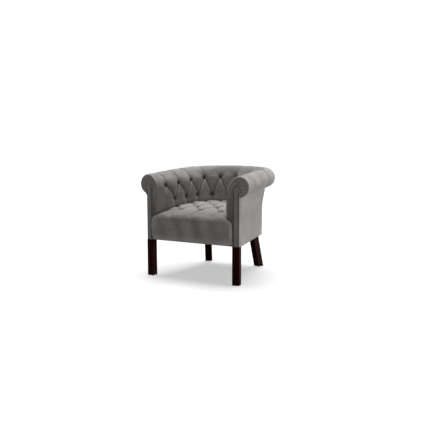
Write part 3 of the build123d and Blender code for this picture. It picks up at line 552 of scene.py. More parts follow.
def buttoning(points, number, height, gap):
    """How deep the padding is drawn in, its painted shade in creases and along pleat lines, and its pile
    tone with painted light and shade.
    """
    count = np.abs(number)
    steps = np.linalg.norm(np.gradient(points, axis=1), axis=-1)
    pitch = np.abs(np.gradient(steps.cumsum(1), axis=1)) * COLUMNS
    from_lower = np.abs(count - np.minimum(np.round(count), LAST_LOWER)) * pitch
    from_upper = np.abs(count - np.minimum(np.floor(count) + 0.5, LAST_UPPER)) * pitch
    above = height - gap
    climb, down = np.maximum(above, 0), np.maximum(-height, 0)
    uneven = 1 + PLEAT_UNEVEN * ripple(number * 5.1, height * 30, 1.7)

    aside, side, share = to_line(from_lower, height, 0.5 * pitch, gap)
    bow = np.sin(pi * share)
    reach = np.where(side > 0, PLEAT_REACH_UPPER, PLEAT_REACH_LOWER)
    lip = np.exp(-(((aside - LIP_ASIDE) / LIP) ** 2)) * (side < 0) * bow
    creased = deepest([
        hollow(np.hypot(from_upper, above), UPPER_HOLLOW),
        hollow(np.hypot(from_lower, height), LOWER_HOLLOW),
        PLEAT_DEPTH * uneven * (1 - PLEAT_RISE * bow) * np.exp(-aside / reach),
        pleat(from_upper, np.minimum(above, 0), climb, UP_PLEAT) * uneven,
        pleat(from_lower, np.maximum(height, 0), down, DOWN_PLEAT) * uneven,
    ])
    creased += gathers(from_upper, above, 3 * number, UPPER_GATHER)
    creased += gathers(from_lower, height, -2 * number, LOWER_GATHER)
    creased += SEAM_DEPTH * np.exp(-from_upper / SEAM_REACH) * ramp(climb, SEAM_RUN)
    creased += RUMPLE * ripple(number * 9.0, height * 75, 0.4) - LIP * lip
    swell = PUFF * ramp(1 - climb / PUFF_RUN) ** 1.5 * ramp(LAST_PUFF - count, 0.5)
    fade = ramp(LAST_PLEAT - count, 0.06)

    # painted shade: dark lines painted along the pleats
    painted_shade_lines = np.maximum.reduce([
        UPPER_PAINTED_SHADE_LINE * np.exp(-from_upper / 0.0045) * ramp(climb, 0.05),
        LOWER_PAINTED_SHADE_LINE * np.exp(-from_lower / 0.006) * ramp(down, 0.03),
        DIAGONAL_PAINTED_SHADE_LINE * np.exp(-aside / 0.004) * (share > 0) * (share < 1),
    ])
    middle = ramp(MIDDLE_COLUMNS - count)
    # painted light and shade on the back's middle columns by height, and painted shade on the arms
    lean = BELOW_TOP_PAINTED_LIGHT - TOP_BAND_PAINTED_SHADE * ramp(climb, 0.05) + OVER_ROLL_PAINTED_LIGHT * ramp(climb - 0.06, 0.05)
    lean = middle * lean - (1 - middle) * ARMS_PAINTED_SHADE
    # painted highlight on the pleats' lips, random pile patches, and the painted light and shade above
    pile_and_painted_light = LIP_PAINTED_HIGHLIGHT * lip + PATCHES_BRUSHED * ripple(number * 4.1, height * 26, 4.2) + lean
    return creased * fade - swell, painted_shade_lines * fade, pile_and_painted_light * fade


def pleat(aside, beyond, run, size):
    """A pleat that leaves a button straight up or down and gets shallower."""
    least, more, fall, reach = size
    return (least + more * np.exp(-run / fall)) * np.exp(-np.hypot(aside, beyond) / reach)


def gathers(aside, up, start, depth):
    """Small folds that fan out round a button."""
    turn = np.arctan2(up, aside + 1e-6)
    return depth * np.cos(GATHERS * turn + start) * np.exp(-np.hypot(aside, up) / GATHER_REACH)


def roll_swell(number, height, gap):
    """How much fuller the roll is round its outside, towards the arms' fronts."""
    climb = height - gap
    round_share = ramp(climb - SWELL_FROM, climb[-1] - SWELL_FROM)
    front = ramp(np.abs(number) - 1.6, 2.2)
    return ROLL_SWELL * np.sin(pi * round_share) ** 0.8 * front * front * (3 - 2 * front)


def arms_and_back(cloth):
    """The buttoned padding of the arms and back. Gives the places of its buttons."""
    points, number, height, gap = pad_grid()
    normals = surface_normals(points)
    depth, painted_shade_lines, pile_and_painted_light = buttoning(points, number, height, gap)
    depth -= roll_swell(number, height, gap)
    sway = SWAY * ripple(number * 7.0, height * 42, 2.6) * ramp(5.0 - np.abs(number), 0.3)
    across = unit(np.gradient(points, axis=1))
    outer = points - normals * depth[..., None] + across * sway[..., None]
    buttons = button_places(outer, normals)

    # painted shade: darker near the seat's top, deep in the hollows and along the pleat lines
    seat_top = seat_height(points[..., 0], points[..., 1]) - 0.004
    foot = ramp(seat_top + FOOT_SHADE_RUN - points[..., 2], FOOT_SHADE_RUN) * 0.8
    painted_shade = ramp(np.maximum(ramp(depth + 0.002, 0.026) ** 1.5 + painted_shade_lines * 0.8, foot))
    extra = len(EDGE_TURNS) + 1
    painted_shade = np.pad(painted_shade, ((0, 0), (extra, extra)), mode="edge")
    pile_and_painted_light = np.pad(pile_and_painted_light, ((0, 0), (extra, extra)))
    right_end = edge_columns(outer[:, -1], normals[:, -1], 1)
    left_end = edge_columns(outer[:, 0], normals[:, 0], -1)
    outer = np.stack(left_end[::-1] + list(outer.transpose(1, 0, 2)) + right_end, 1)
    inner, inner_extra = inner_wall(right_end[-1][-1])

    outer_index = numbers(outer)
    inner_index = numbers(inner, outer_index.size)
    faces = grid_faces(outer_index) + grid_faces(inner_index[:, ::-1])
    for row, turned in ((0, 1), (-1, -1)):
        strip = [inner_index[row, inner_extra:-inner_extra], outer_index[row, extra:-extra]]
        faces += grid_faces(np.stack(strip[::turned]))
    for row in (0, -1):
        faces.append(loop(outer_index[row, : extra + 1], inner_index[row, inner_extra::-1]))
        faces.append(loop(outer_index[row, -extra - 1 :], inner_index[row, : -inner_extra - 2 : -1]))
    for column in (0, -1):
        faces.append(loop(outer_index[:, column], inner_index[::-1, column]))
    every = np.concatenate([outer.reshape(-1, 3), inner.reshape(-1, 3)])
    stands_for = ["inside_cover", "inside_foam"]
    piece = closed_piece("arms_and_back_pad", every, faces, cloth, stands_for, painted_shade, pile_and_painted_light)
    return buttons


def inner_wall(rim_end):
    """The padding's hidden surface, and how many columns close it in front of each arm."""
    distance = middle_distance(np.abs(np.arange(-END_COLUMN, END_COLUMN + 1)) / COLUMNS)
    distance[[0, -1]] = front_distance(WALL_SETBACK)
    inset = np.full_like(distance, PAD_WALL)
    inset[[0, -1]] = EDGE_R + ROLL_GAP
    wall = pad_surface(*np.meshgrid(distance, WALL_STAGES), inset)
    wall[:, :END_COLUMN, 0] *= -1
    count = len(WALL_STAGES)
    near = [pad_surface(np.full(count, front_distance(RIM_GAP)), WALL_STAGES, EDGE_R + ROLL_GAP)]
    near += [closing_line(setback, count, rim_end) for setback in (RIM_GAP, 0.0)]
    far = [line * (-1, 1, 1) for line in near[::-1]]
    return np.stack(far + list(wall.transpose(1, 0, 2)) + near, 1), len(near)


def forwards(side):
    """The way an arm's front faces."""
    return np.array([side * sin(FACING_TURN), -cos(FACING_TURN), 0])


def edge_columns(column, normals, side):
    """The padding's edge turned in at an arm's front, and a narrow flat rim inside it."""
    forward = forwards(side)
    level = unit(normals - forward * (normals @ forward)[:, None])
    turned = [column + forward * EDGE_DEPTH * sin(turn) - level * EDGE_R * (1 - cos(turn))
              for turn in EDGE_TURNS]
    return turned + [turned[-1] - level * EDGE_RIM]


def closing_line(setback, count, rim_end):
    """Points from the padding's foot to the end of the roll's rim."""
    spot, _ = lining.walk(np.array([front_distance(setback)]))
    aim = way(np.array([FACING_TURN]))
    thick, _ = roll_line.reach(spot, aim)
    x, y = (spot + aim * (thick + CLOSING_OUT)[:, None])[0]
    rise = [[x, y, z] for z in np.linspace(PAD_BOTTOM, rim_end[2] - CLOSING_DROP, count - 1)]
    return np.array(rise + [rim_end + (-CLOSING_GAP, setback, CLOSING_GAP)])


def button_places(surface, normals):
    """Where the buttons sit on the buttoned surface, and the way they face."""
    found = []
    rows = ((ROWS_BELOW, 0, LAST_LOWER), (ROWS_BELOW + ROWS_BETWEEN, COLUMNS // 2, LAST_UPPER))
    for row, first, last in rows:
        for steps in range(-END_COLUMN, END_COLUMN + 1):
            if steps % COLUMNS == first and abs(steps) <= last * COLUMNS:
                place_there = row, steps + END_COLUMN
                found.append((surface[place_there], normals[place_there]))
    return found


def covered_buttons(name, places, cloth, stands_for):
    """Covered buttons: squashed balls with a flat foot."""
    bpy.ops.mesh.primitive_uv_sphere_add(segments=20, ring_count=12, radius=BUTTON_R, location=(0, 0, 0))
    ball = bpy.context.object
    bpy.ops.object.mode_set(mode="EDIT")
    bpy.ops.transform.resize(value=(1, 1, BUTTON_SQUASH))
    bpy.ops.mesh.bisect(plane_co=(0, 0, -BUTTON_FOOT), plane_no=(0, 0, 1), clear_inner=True, use_fill=True)
    bpy.ops.object.mode_set(mode="OBJECT")
    shape = np.array([vert.co for vert in ball.data.vertices])
    outlines = [list(face.vertices) for face in ball.data.polygons]
    bpy.data.objects.remove(ball)
    points, faces = [], []
    for point, facing in places:
        turn = np.array(Vector(facing).to_track_quat("Z", "Y").to_matrix())
        faces += [[corner + len(points) * len(shape) for corner in outline] for outline in outlines]
        points.append(shape @ turn.T + point + facing * BUTTON_FOOT)
    points = np.concatenate(points)
    closed_piece(name, points, faces, cloth, stands_for, np.full(len(points), BUTTON_PAINTED_SHADE))


# ---- seat
SEAT_PLANE = facing_y(lining.start[0]) - SEAT_GAP
PLANE_TURN = np.arcsin((SEAT_FRONT_Y - SEAT_PLANE) / (SEAT_OVERHANG + SEAT_FRONT_Y))
FIRST_EAR_ROW = SEAT_TOP_ROWS + int(np.ceil(PLANE_TURN / (pi / 2) * SEAT_EDGE_ROWS)) - 1


def seat_height(x, y):
    rise = np.sin(pi / 2 * np.minimum((y - SEAT_FRONT_Y) / SEAT_CROWN_RUN, 1.15))
    side = SEAT_SIDE_DROP * (np.abs(x) / APRON_HALF_WIDTH) ** 2.2
    return SEAT_CREST_Z + (SEAT_CROWN_Z - SEAT_CREST_Z) * rise - side


def apron_bottom(x):
    return APRON_BOTTOM_Z + APRON_ARCH * np.cos(pi / 2 * np.clip(x / APRON_HALF_WIDTH, -1, 1))


def seat_half_width(y):
    """Half the seat's width between the arms, at their straight part."""
    return lining.start[0] + (SEAT_OUT - (y - lining.start[1]) * lining.out[1]) / lining.out[0]


def seat_plan():
    """The seat's top from above, woven between its four edges."""
    corner = ARCS - (SEAT_CORNER_TURN - lining.turn) * lining.corner_r
    half = SEAT_COLUMNS // 2
    rear = lining.walk(np.linspace(0, corner, half + 1))[0]
    rear = np.concatenate([rear[:0:-1] * (-1, 1), rear])
    end = (lining.arm_end[1] - SEAT_FRONT_Y) / lining.along[1] + ARCS
    right = lining.walk(np.linspace(corner, end, SEAT_TOP_ROWS))[0]
    share = np.linspace(-1, 1, SEAT_COLUMNS)
    front = np.stack([share * right[-1, 0], np.full(SEAT_COLUMNS, SEAT_FRONT_Y)], -1)
    down = np.linspace(0, 1, SEAT_TOP_ROWS)[:, None, None]
    over = (share[None, :, None] + 1) / 2
    left = right * (-1, 1)
    plan = (1 - down) * rear[None] + down * front[None] + (1 - over) * left[:, None] + over * right[:, None]
    corners = (1 - down) * ((1 - over) * rear[0] + over * rear[-1])
    return plan - (corners + down * ((1 - over) * front[0] + over * front[-1]))


def seat_rows():
    """The seat before it is tufted: rows from the rear over the front edge to the apron's foot."""
    plan = seat_plan()
    top = np.concatenate([plan, seat_height(plan[..., 0], plan[..., 1])[..., None]], -1)
    top[..., 2] -= end_fall(top[..., 0], top[..., 1])
    share = np.linspace(-1, 1, SEAT_COLUMNS)
    rows = []
    run = SEAT_OVERHANG + SEAT_FRONT_Y
    for step in range(1, SEAT_EDGE_ROWS + 1):
        turn = pi / 2 * step / SEAT_EDGE_ROWS
        y = SEAT_FRONT_Y - run * sin(turn)
        x = front_across(share, y)
        z = seat_height(x, SEAT_FRONT_Y) - SEAT_EDGE_DROP * (1 - cos(turn))
        rows.append(np.stack([x, before_arms(x, y), z], -1))
    crest = rows[-1]
    low = apron_bottom(crest[:, 0])
    for step in range(1, APRON_ROWS + 1):
        way_down = step / APRON_ROWS
        z = crest[:, 2] + (low - crest[:, 2]) * way_down
        tuck = APRON_TUCK * way_down**2.6 - APRON_BELLY * sin(pi * way_down)
        rows.append(np.stack([crest[:, 0], crest[:, 1] + tuck, z], -1))
    for row, line in enumerate(rows):
        if line[0, 1] < SEAT_PLANE:
            line[:, 1] += (facing_y(line[:, 0]) - EAR_GAP - line[:, 1]) * ear_turn(line[:, 0])
        fade = ramp(1 - (row - SEAT_EDGE_ROWS) / (0.45 * APRON_ROWS))
        line[:, 2] -= end_fall(line[:, 0], line[:, 1]) * fade
    foot = rows[-1]
    behind = np.where(np.abs(foot[:, 0]) < APRON_BACK_X, *APRON_BACKS)
    for share_back in (0.3, 0.65, 1.0):
        under = foot.copy()
        under[:, 1] += (behind - foot[:, 1]) * share_back
        under[:, 2] += (APRON_TURN_Z - foot[:, 2]) * share_back**2
        rows.append(under)
    return np.concatenate([top, np.stack(rows)])


def end_fall(x, y):
    """How much lower the seat's front lies towards its two ends."""
    near = ramp(1 - (y - SEAT_PLANE) / EAR_FALL_RUN)
    return EAR_DROP * ear_turn(x, EAR_FALL) * near**2 * (3 - 2 * near)


def ear_turn(x, run=EAR_ROUND):
    """How far the apron's ends have turned away, over their last run: 0 to 1."""
    beyond = ramp(np.abs(x) - APRON_HALF_WIDTH + run, run)
    return 1 - np.sqrt(1 - beyond**2 * 0.995)


def before_arms(x, y):
    """Rows across the front: straight, and along the arms' front planes at the ends."""
    if y >= SEAT_PLANE:
        return np.full_like(x, y)
    share = (y - SEAT_PLANE) / (-SEAT_OVERHANG - SEAT_PLANE)
    behind = np.where(np.abs(x) <= lining.start[0], SEAT_PLANE, facing_y(x) - 0.002)
    front = -SEAT_OVERHANG + EAR_BACK * ramp(np.abs(x), APRON_HALF_WIDTH) ** 4.5
    return behind + (front - behind) * share


def front_across(share, y):
    """Points across the seat: between the arms, and in front of them over their width."""
    inner = seat_half_width(y)
    outer = APRON_HALF_WIDTH if y < SEAT_PLANE else inner
    knee = EAR_SHARE * inner
    beyond = np.maximum(np.abs(share) - EAR_SHARE, 0) / (1 - EAR_SHARE)
    ends = np.sign(share) * (knee + beyond * (outer - knee))
    return np.where(np.abs(share) < EAR_SHARE, share * inner, ends)


def rounding(points):
    """How far the seat's rim is rounded off."""
    x, y = points[..., 0], points[..., 1]
    inside = np.where(y < SEAT_PLANE + 0.0001, SEAT_ROUND, lining.depth(x, y))
    radius = SEAT_ROUND * np.clip((y - SEAT_PLANE) / ROUND_RUN, 0.2, 1)
    near = np.clip(radius - np.maximum(inside, 0), 0, radius)
    return radius - np.sqrt(np.maximum(radius**2 - near**2, 0))


def fold(x, y, start, end, size):
    """A pleat between two points, cusp-shaped across and a little steeper on one side."""
    depth, reach = size
    aside, side, _ = to_line(x - start[0], y - start[1], end[0] - start[0], end[1] - start[1])
    steeper = 1 + 0.12 * side * ramp(aside, reach)
    return depth * np.exp(-np.sqrt(aside**2 + FOLD_CUSP**2) / reach) * steeper


def tufting(points, length_down):
    """How deep the tufts and pleats draw in the seat and the apron."""
    x = points[..., 0]
    y = np.where(length_down > 0, SEAT_FRONT_Y - length_down, points[..., 1])
    tufts = [(tx, ty) for ty, places in TUFT_ROWS for tx in places]
    hollows = [hollow(np.hypot((x - tx) * TUFT_WIDE, y - ty), TUFT_HOLLOW) for tx, ty in tufts]
    for start in tufts:
        for end in tufts:
            across, back = abs(end[0] - start[0]), end[1] - start[1]
            if 0 < back < TUFT_APART and abs(across - TUFT_STEP) < 0.01:
                hollows.append(fold(x, y, start, end, FOLD))
    for start, end in SIDE_FOLDS:
        for side in (-1, 1):
            hollows.append(fold(x, y, (side * start[0], start[1]), (side * end[0], end[1]), SIDE_FOLD))
    groove_depth, groove_reach = APRON_GROOVE
    fade = ramp(1 - (length_down - 0.03) / 0.15) * (length_down > 0)
    front_row, places = TUFT_ROWS[0]
    for tx in places:
        hollows.append(fold(x, y, (tx, front_row), (tx, FRONT_FOLD_END), FRONT_FOLD))
        hollows.append(groove_depth * np.exp(-np.abs(x - tx) / groove_reach) * fade)
    patches = APRON_PATCHES * np.cos(2 * pi * x / 0.15)
    patches = patches * ramp(length_down, 0.05) * ramp(0.2 - length_down, 0.08)
    rumple = SEAT_RUMPLE * ripple(x * 55, y * 48, 0.9) + SEAT_CRINKLE * ripple(x * 130, y * 120, 2.2)
    return deepest(hollows) - SEAT_PUFF + rumple - patches


def seat_tone_and_painted_light(points, length_down, depth):
    """Lighter and darker vertical bands on the apron, with painted light on the low apron and towards the
    seat's rear, and painted shade on the seat's front edge and in its creases.
    """
    x = points[..., 0]
    sway = 0.012 * np.sin(length_down * 34) + 0.008 * ripple(x * 30, length_down * 40, 3.3)
    bands = np.cos(2 * pi * (x + sway + 0.012) / BAND_WIDTH)
    bands = bands * (0.75 + 0.5 * ripple(x * 22, length_down * 18, 5.0))
    low = ramp(length_down - 0.15, 0.04)
    # painted light on the low apron
    apron = (0.2 + bands * (1 - 0.5 * low) + LOW_APRON_PAINTED_LIGHT * low) * ramp(length_down - 0.03, 0.035)
    behind = points[..., 1] - SEAT_FRONT_Y
    # painted light towards the rear, painted shade on the front edge and in the creases
    top = BEHIND_FRONT_PAINTED_LIGHT * ramp(behind, 0.1) + REAR_PAINTED_LIGHT * ramp(behind, 0.3) - FRONT_EDGE_PAINTED_SHADE
    top = top - SEAT_CREASE_PAINTED_SHADE * ramp(depth + 0.004, 0.012)
    return apron + top * ramp(1 - length_down / 0.06)


def seat(cloth):
    """The tufted seat with its apron. Gives the places of its tufts."""
    points = seat_rows()
    halves = [surface_normals(points[:FIRST_EAR_ROW]), surface_normals(points[FIRST_EAR_ROW:])]
    normals = -np.concatenate(halves)
    length = lengths_along(points)
    length_down = np.maximum(length - length[SEAT_TOP_ROWS - 1], 0)
    drop = rounding(points)
    edge = ramp(1 - drop / (0.9 * SEAT_ROUND))
    edge[FIRST_EAR_ROW:] = 1 - ear_turn(points[FIRST_EAR_ROW:, :, 0])
    foot = np.ones(points.shape[0])
    foot[-len(APRON_FADE) :] = APRON_FADE
    depth = tufting(points, length_down) * edge * foot[:, None]
    outer = points - normals * (drop + depth)[..., None]
    tufts = []
    for ty, places in TUFT_ROWS:
        for tx in places:
            near = np.hypot(points[:SEAT_TOP_ROWS, :, 0] - tx, points[:SEAT_TOP_ROWS, :, 1] - ty)
            spot = np.unravel_index(np.argmin(near), near.shape)
            tufts.append((outer[spot], normals[spot]))

    index = numbers(outer)
    base = seat_base(points)
    base_index = numbers(base, index.size)
    faces = grid_faces(index) + grid_faces(base_index[:, ::-1])
    faces += grid_faces(np.stack([base_index[:, 0], index[:, 0]], 1))
    faces += grid_faces(np.stack([index[:, -1], base_index[:, -1]], 1))
    rear = outer[0, 1:-1] * (1, 1, 0) + (0, 0, SEAT_BASE)
    rear_index = index.size + base_index.size + np.arange(len(rear))
    rear_loop = np.array(loop(base_index[0, :1], rear_index, base_index[0, -1:]))
    faces += grid_faces(np.stack([rear_loop, index[0]]))
    faces.append(loop(rear_loop, base_index[0, 2:0:-1]))
    faces.append(loop(index[-1], base_index[-1, ::-1]))
    every = np.concatenate([outer.reshape(-1, 3), base.reshape(-1, 3), rear])
    # painted shade in the tufts' hollows and on the rounded rim, halved on the apron
    painted_shade = ramp(ramp(depth + 0.002, 0.022) ** 1.3 + ramp(drop, 0.012) ** 2 * 0.8)
    painted_shade[SEAT_TOP_ROWS:] *= 0.5
    pile_and_painted_light = seat_tone_and_painted_light(points, length_down, depth)
    piece = closed_piece("seat_pad", every, faces, cloth, ["seat_cover", "seat_foam"], painted_shade, pile_and_painted_light)
    return tufts


def seat_base(points):
    """Four points under each row of the seat: a flat base, and in front the backs of the apron's ends."""
    base = []
    for row, line in enumerate(points):
        rung = []
        for sign, inner in ((-1, False), (-1, True), (1, True), (1, False)):
            x, y, _ = line[-1 if sign > 0 else 0]
            if row < FIRST_EAR_ROW:
                rung.append((x - sign * inner * BASE_STEP, max(y, facing_y(x) + 0.0005), SEAT_BASE))
            else:
                share = (row - FIRST_EAR_ROW) / (len(points) - 1 - FIRST_EAR_ROW)
                across, deep = EAR_INSIDE if inner else EAR_OUTSIDE
                rung.append((sign * across, deep, SEAT_BASE + (EAR_BASE - SEAT_BASE) * share))
        base.append(rung)
    return np.array(base)


# ---- outside covers
def outside_spot(part, share, height, inset):
    """A point of the outside of an arm or the back. Share runs along it, from the front or the left."""
    along = arm_spot if part == "arm" else curve_spot
    low, low_turn = along(skirt, share)
    high, high_turn = along(neck, share)
    neck_z = roll_z(high[1]) - ROLL_R + ROLL_GAP
    z = BODY_BOTTOM + (neck_z - BODY_BOTTOM) * height
    climb = (z - SKIRT_FLARE_Z) / (neck_z - SKIRT_FLARE_Z)
    soft = FLARE_ROUND / (neck_z - SKIRT_FLARE_Z)
    lean = min((climb + sqrt(climb**2 + soft**2)) / 2, 1.0)
    point = low * (1 - lean) + high * lean
    turn = low_turn * (1 - lean) + high_turn * lean
    front = ramp(share, FULL_FROM_FRONT) if part == "arm" else 1.0
    under = ramp(1 - height, FULL_FROM_TOP)
    full = OUTSIDE_FULL * sqrt(front * (2 - front)) * under * (2 - under) if inset == 0 else 0.0
    point = point + way(np.array(turn)) * (full - inset)
    return point[0], point[1], z


def arm_spot(line, share):
    """A point of the straight arm: share runs from its front to its end."""
    front = facing_y(line.start[0], FRONT_GAP)
    return line.start + line.along * (front + (line.arm_end[1] - front) * share) / line.along[1], line.turn


def curve_spot(line, share):
    """A point of the corner and back arcs, from the left arm's end to the right's."""
    corner = line.corner_r * line.arcs[1][1]
    back = line.back_r * line.arcs[0][1]
    near = abs(share - 0.5) * 2
    beyond = near - BACK_SPLIT
    walked = back * near / BACK_SPLIT if beyond < 0 else back + corner * beyond / (1 - BACK_SPLIT)
    point, turn = line.walk(np.array([walked]))
    if share < 0.5:
        return point[0] * (-1, 1), pi - turn[0]
    return point[0], turn[0]


def outside_cover(name, part, side, cloth):
    """Cloth drawn over an outside board: a thin closed wall, its edges turned in."""
    arm = part == "arm"
    shares = np.linspace(0, 1, ARM_COLUMNS) ** 1.6 if arm else np.linspace(0, 1, BACK_COLUMNS)
    insets = np.full_like(shares, COVER)
    if arm:
        shares[1] = FIRST_SHARE
        insets[0] = FRONT_COVER
    heights = np.linspace(0, 1, COVER_ROWS)
    layers = np.array([[[outside_spot(part, share, height, inset) for share, inset in zip(shares, layer)]
                        for height in heights] for layer in (insets * 0, insets)])
    layers[..., 0] *= side
    index = numbers(layers[0])
    other = index + index.size
    faces = grid_faces(index) + grid_faces(other[:, ::-1])
    for first, second in ((other[0], index[0]), (index[-1], other[-1]),
                          (index[:, 0], other[:, 0]), (other[:, -1], index[:, -1])):
        faces += grid_faces(np.stack([first, second]))
    piece = closed_piece(name + "_cloth", layers.reshape(-1, 3), faces, cloth, [name])


# ---- facings
def keyhole(inset):
    """An arm facing's outline, from its inner foot over the head to the outer."""
    half = FACING_HALF_WIDTH - inset
    radius = FACING_HEAD_R - inset
    rise_in = sqrt(radius**2 - (half + FACING_HEAD_X) ** 2)
    rise_out = sqrt(radius**2 - (half - FACING_HEAD_X) ** 2)
    start = atan2(-rise_in, -half - FACING_HEAD_X) + 2 * pi
    end = atan2(-rise_out, half - FACING_HEAD_X)
    low = BODY_BOTTOM + inset
    points = [(-half, z) for z in np.linspace(low, FACING_HEAD_Z - rise_in, OUTLINE_STEPS)]
    for turn in np.linspace(start, end, OUTLINE_STEPS)[1:-1]:
        points.append((FACING_HEAD_X + radius * cos(turn), FACING_HEAD_Z + radius * sin(turn)))
    points += [(half, z) for z in np.linspace(FACING_HEAD_Z - rise_out, low, OUTLINE_STEPS)]
    return np.array(points)


def facing(side, cloth):
    """The facing of an arm's front: a thin pad, drawn in along its nails."""
    across = np.array([side * cos(FACING_TURN), sin(FACING_TURN), 0])
    forward = forwards(side)
    origin = np.array([side * FACING_X, FACING_Y, 0]) + forward * FACING_THICK
    rings = []
    for inset, proud in FACING_RINGS:
        outline = keyhole(inset)
        rings.append(origin + outline[:, :1] * across + outline[:, 1:] * (0, 0, 1) + forward * proud)
    table = np.stack(rings)
    index = numbers(table)
    faces = grid_faces(np.concatenate([index, index[:, :1]], 1)) + [index[0].tolist(), index[-1].tolist()]
    name = ("right" if side > 0 else "left") + "_facing_cover"
    piece = closed_piece(name + "_pad", table.reshape(-1, 3), faces, cloth, [name])


# ---- materials
class Value:
    """A shader number or colour that takes part in sums."""

    def __init__(self, nodes, socket):
        self.nodes = nodes
        self.socket = socket

    def __add__(self, other):
        return self.nodes.sum("ADD", self, other)

    def __sub__(self, other):
        return self.nodes.sum("SUBTRACT", self, other)

    def __rsub__(self, other):
        return self.nodes.sum("SUBTRACT", other, self)

    def __mul__(self, other):
        return self.nodes.sum("MULTIPLY", self, other)

    __radd__ = __add__
    __rmul__ = __mul__


class Nodes:
    """The shader nodes of a material or of the world, and the shader that they end in."""

    def __init__(self, owner, output):
        owner.use_nodes = True
        self.tree = owner.node_tree
        self.tree.nodes.clear()
        self.output = self.tree.nodes.new("ShaderNode" + output)

    def node(self, kind, inputs, output=0, **settings):
        """Adds a node: its settings first, then the values or links of its sockets."""
        made = self.tree.nodes.new("ShaderNode" + kind)
        for setting, value in settings.items():
            setattr(made, setting, value)
        for socket, value in inputs.items():
            self.feed(made.inputs[socket], value)
        return Value(self, made.outputs[output])

    def feed(self, socket, value):
        if isinstance(value, Value):
            self.tree.links.new(value.socket, socket)
        else:
            socket.default_value = value

    def sum(self, operation, first, second):
        return self.node("Math", {0: first, 1: second}, operation=operation)

    def end(self, share, unseen, seen):
        """Ends in two shaders: one for the light that falls on the chair, one for what is seen."""
        mixed = self.node("MixShader", {0: share, 1: unseen, 2: seen})
        self.feed(self.output.inputs["Surface"], mixed)

    def ray(self, kind):
        return self.node("LightPath", {}, kind)


class Finish(Nodes):
    """A material with one surface shader."""

    def __init__(self, name, **constants):
        self.material = bpy.data.materials.new(name)
        super().__init__(self.material, "OutputMaterial")
        self.shader = self.tree.nodes.new("ShaderNodeBsdfPrincipled")
        self.tree.links.new(self.shader.outputs[0], self.output.inputs["Surface"])
        self.use(**constants)
        self.spot = self.node("TexCoord", {}, "Object")

    def use(self, **inputs):
        for socket, value in inputs.items():
            self.feed(self.shader.inputs[socket.replace("_", " ")], value)
        return self.material

    def noise(self, scale, detail=2.0, distortion=0.0, stretch=None):
        vector = self.spot
        if stretch:
            vector = self.node("Mapping", {"Vector": self.spot, "Scale": stretch})
        inputs = {"Vector": vector, "Scale": scale, "Detail": detail, "Distortion": distortion}
        return self.node("TexNoise", inputs, "Fac")

    def mottle(self, low, high, *kind):
        """A noise with its middle range stretched to 0 and 1."""
        inputs = {"Value": self.noise(*kind), "From Min": low, "From Max": high}
        return self.node("MapRange", inputs, clamp=True)

    def blend(self, share, *colours):
        first, second = [shade(*colour) if isinstance(colour, tuple) else colour for colour in colours]
        return self.node("Mix", {0: share, 6: first, 7: second}, 2, data_type="RGBA", blend_type="MIX")

    def bump(self, height, strength, distance):
        return self.node("Bump", {"Height": height, "Strength": strength, "Distance": distance})

    def kept(self, name):
        """A value that the mesh keeps at each of its points."""
        return self.node("Attribute", {}, "Fac", attribute_name=name)


def shade(*colour):
    """A colour given as it shows on a screen, made linear."""
    return (*[((c / 255 + 0.055) / 1.055) ** 2.4 if c > 10 else c / 255 / 12.92 for c in colour], 1.0)


def chenille():
    """Soft grey pile: brushed patches and strokes, fine fibres and a light sheen, lightened and darkened by
    painted light and shade kept at the mesh's points.
    """
    cloth = Finish("grey_chenille", Sheen_Weight=0.45, Sheen_Roughness=0.45, Specular_IOR_Level=0.15)
    patches = cloth.mottle(0.36, 0.66, 11.0, 3.0, 0.6)
    crushed = cloth.mottle(0.32, 0.68, 75.0, 3.0, 0.5)
    strokes = cloth.mottle(0.32, 0.68, 1.0, 2.0, 0.0, (330.0, 330.0, 62.0))
    pile = cloth.mottle(0.3, 0.7, 1150.0, 1.0)
    mix = patches * 0.3 + crushed * 0.26 + strokes * 0.2 + pile * 0.24
    lit = cloth.blend(mix, (132, 128, 125), (176, 172, 169))
    # painted light and shade kept at the mesh's points scale the cloth colour
    scale = cloth.kept("pile_and_painted_light") * 0.2 + 1.0
    pile_tone_with_painted_light = cloth.node("VectorMath", {0: lit, "Scale": scale}, operation="SCALE")
    # painted shade: the creases blend towards a dark grey
    colour = cloth.blend(cloth.kept("painted_shade") * 0.8, pile_tone_with_painted_light, (46, 43, 41))
    rough = 0.8 + pile * 0.15
    soft = cloth.bump(pile * 0.5 + strokes * 0.5, 0.4, 0.0006)
    return cloth.use(Base_Color=colour, Roughness=rough, Normal=soft)


def dark_mahogany():
    wood = Finish("dark_mahogany", Coat_Weight=0.012, Coat_Roughness=0.25, Specular_IOR_Level=0.035)
    grain = wood.mottle(0.3, 0.7, 3.0, 6.0, 1.2, (38.0, 38.0, 3.0))
    pores = wood.mottle(0.45, 0.75, 2.0, 3.0, 0.2, (420.0, 420.0, 26.0))
    colour = wood.blend(grain, (29, 4, 2), (52, 10, 5))
    dulled = wood.blend(pores * 0.6, colour, (16, 3, 2))
    relief = wood.bump(grain * 0.5 - pores, 0.25, 0.0004)
    return wood.use(Base_Color=dulled, Roughness=0.34 + pores * 0.2 + grain * 0.06, Normal=relief)


def plain_wood(name, dark, light, across=60.0):
    """Unfinished frame timber or board with its grain."""
    wood = Finish(name, Specular_IOR_Level=0.3)
    grain = wood.mottle(0.3, 0.7, 2.5, 5.0, 0.8, (across, 4.0, across))
    fibres = wood.noise(260.0, 2.0)
    colour = wood.blend(grain * 0.75 + fibres * 0.25, dark, light)
    return wood.use(Base_Color=colour, Roughness=0.62 + fibres * 0.2, Normal=wood.bump(fibres, 0.2, 0.0004))


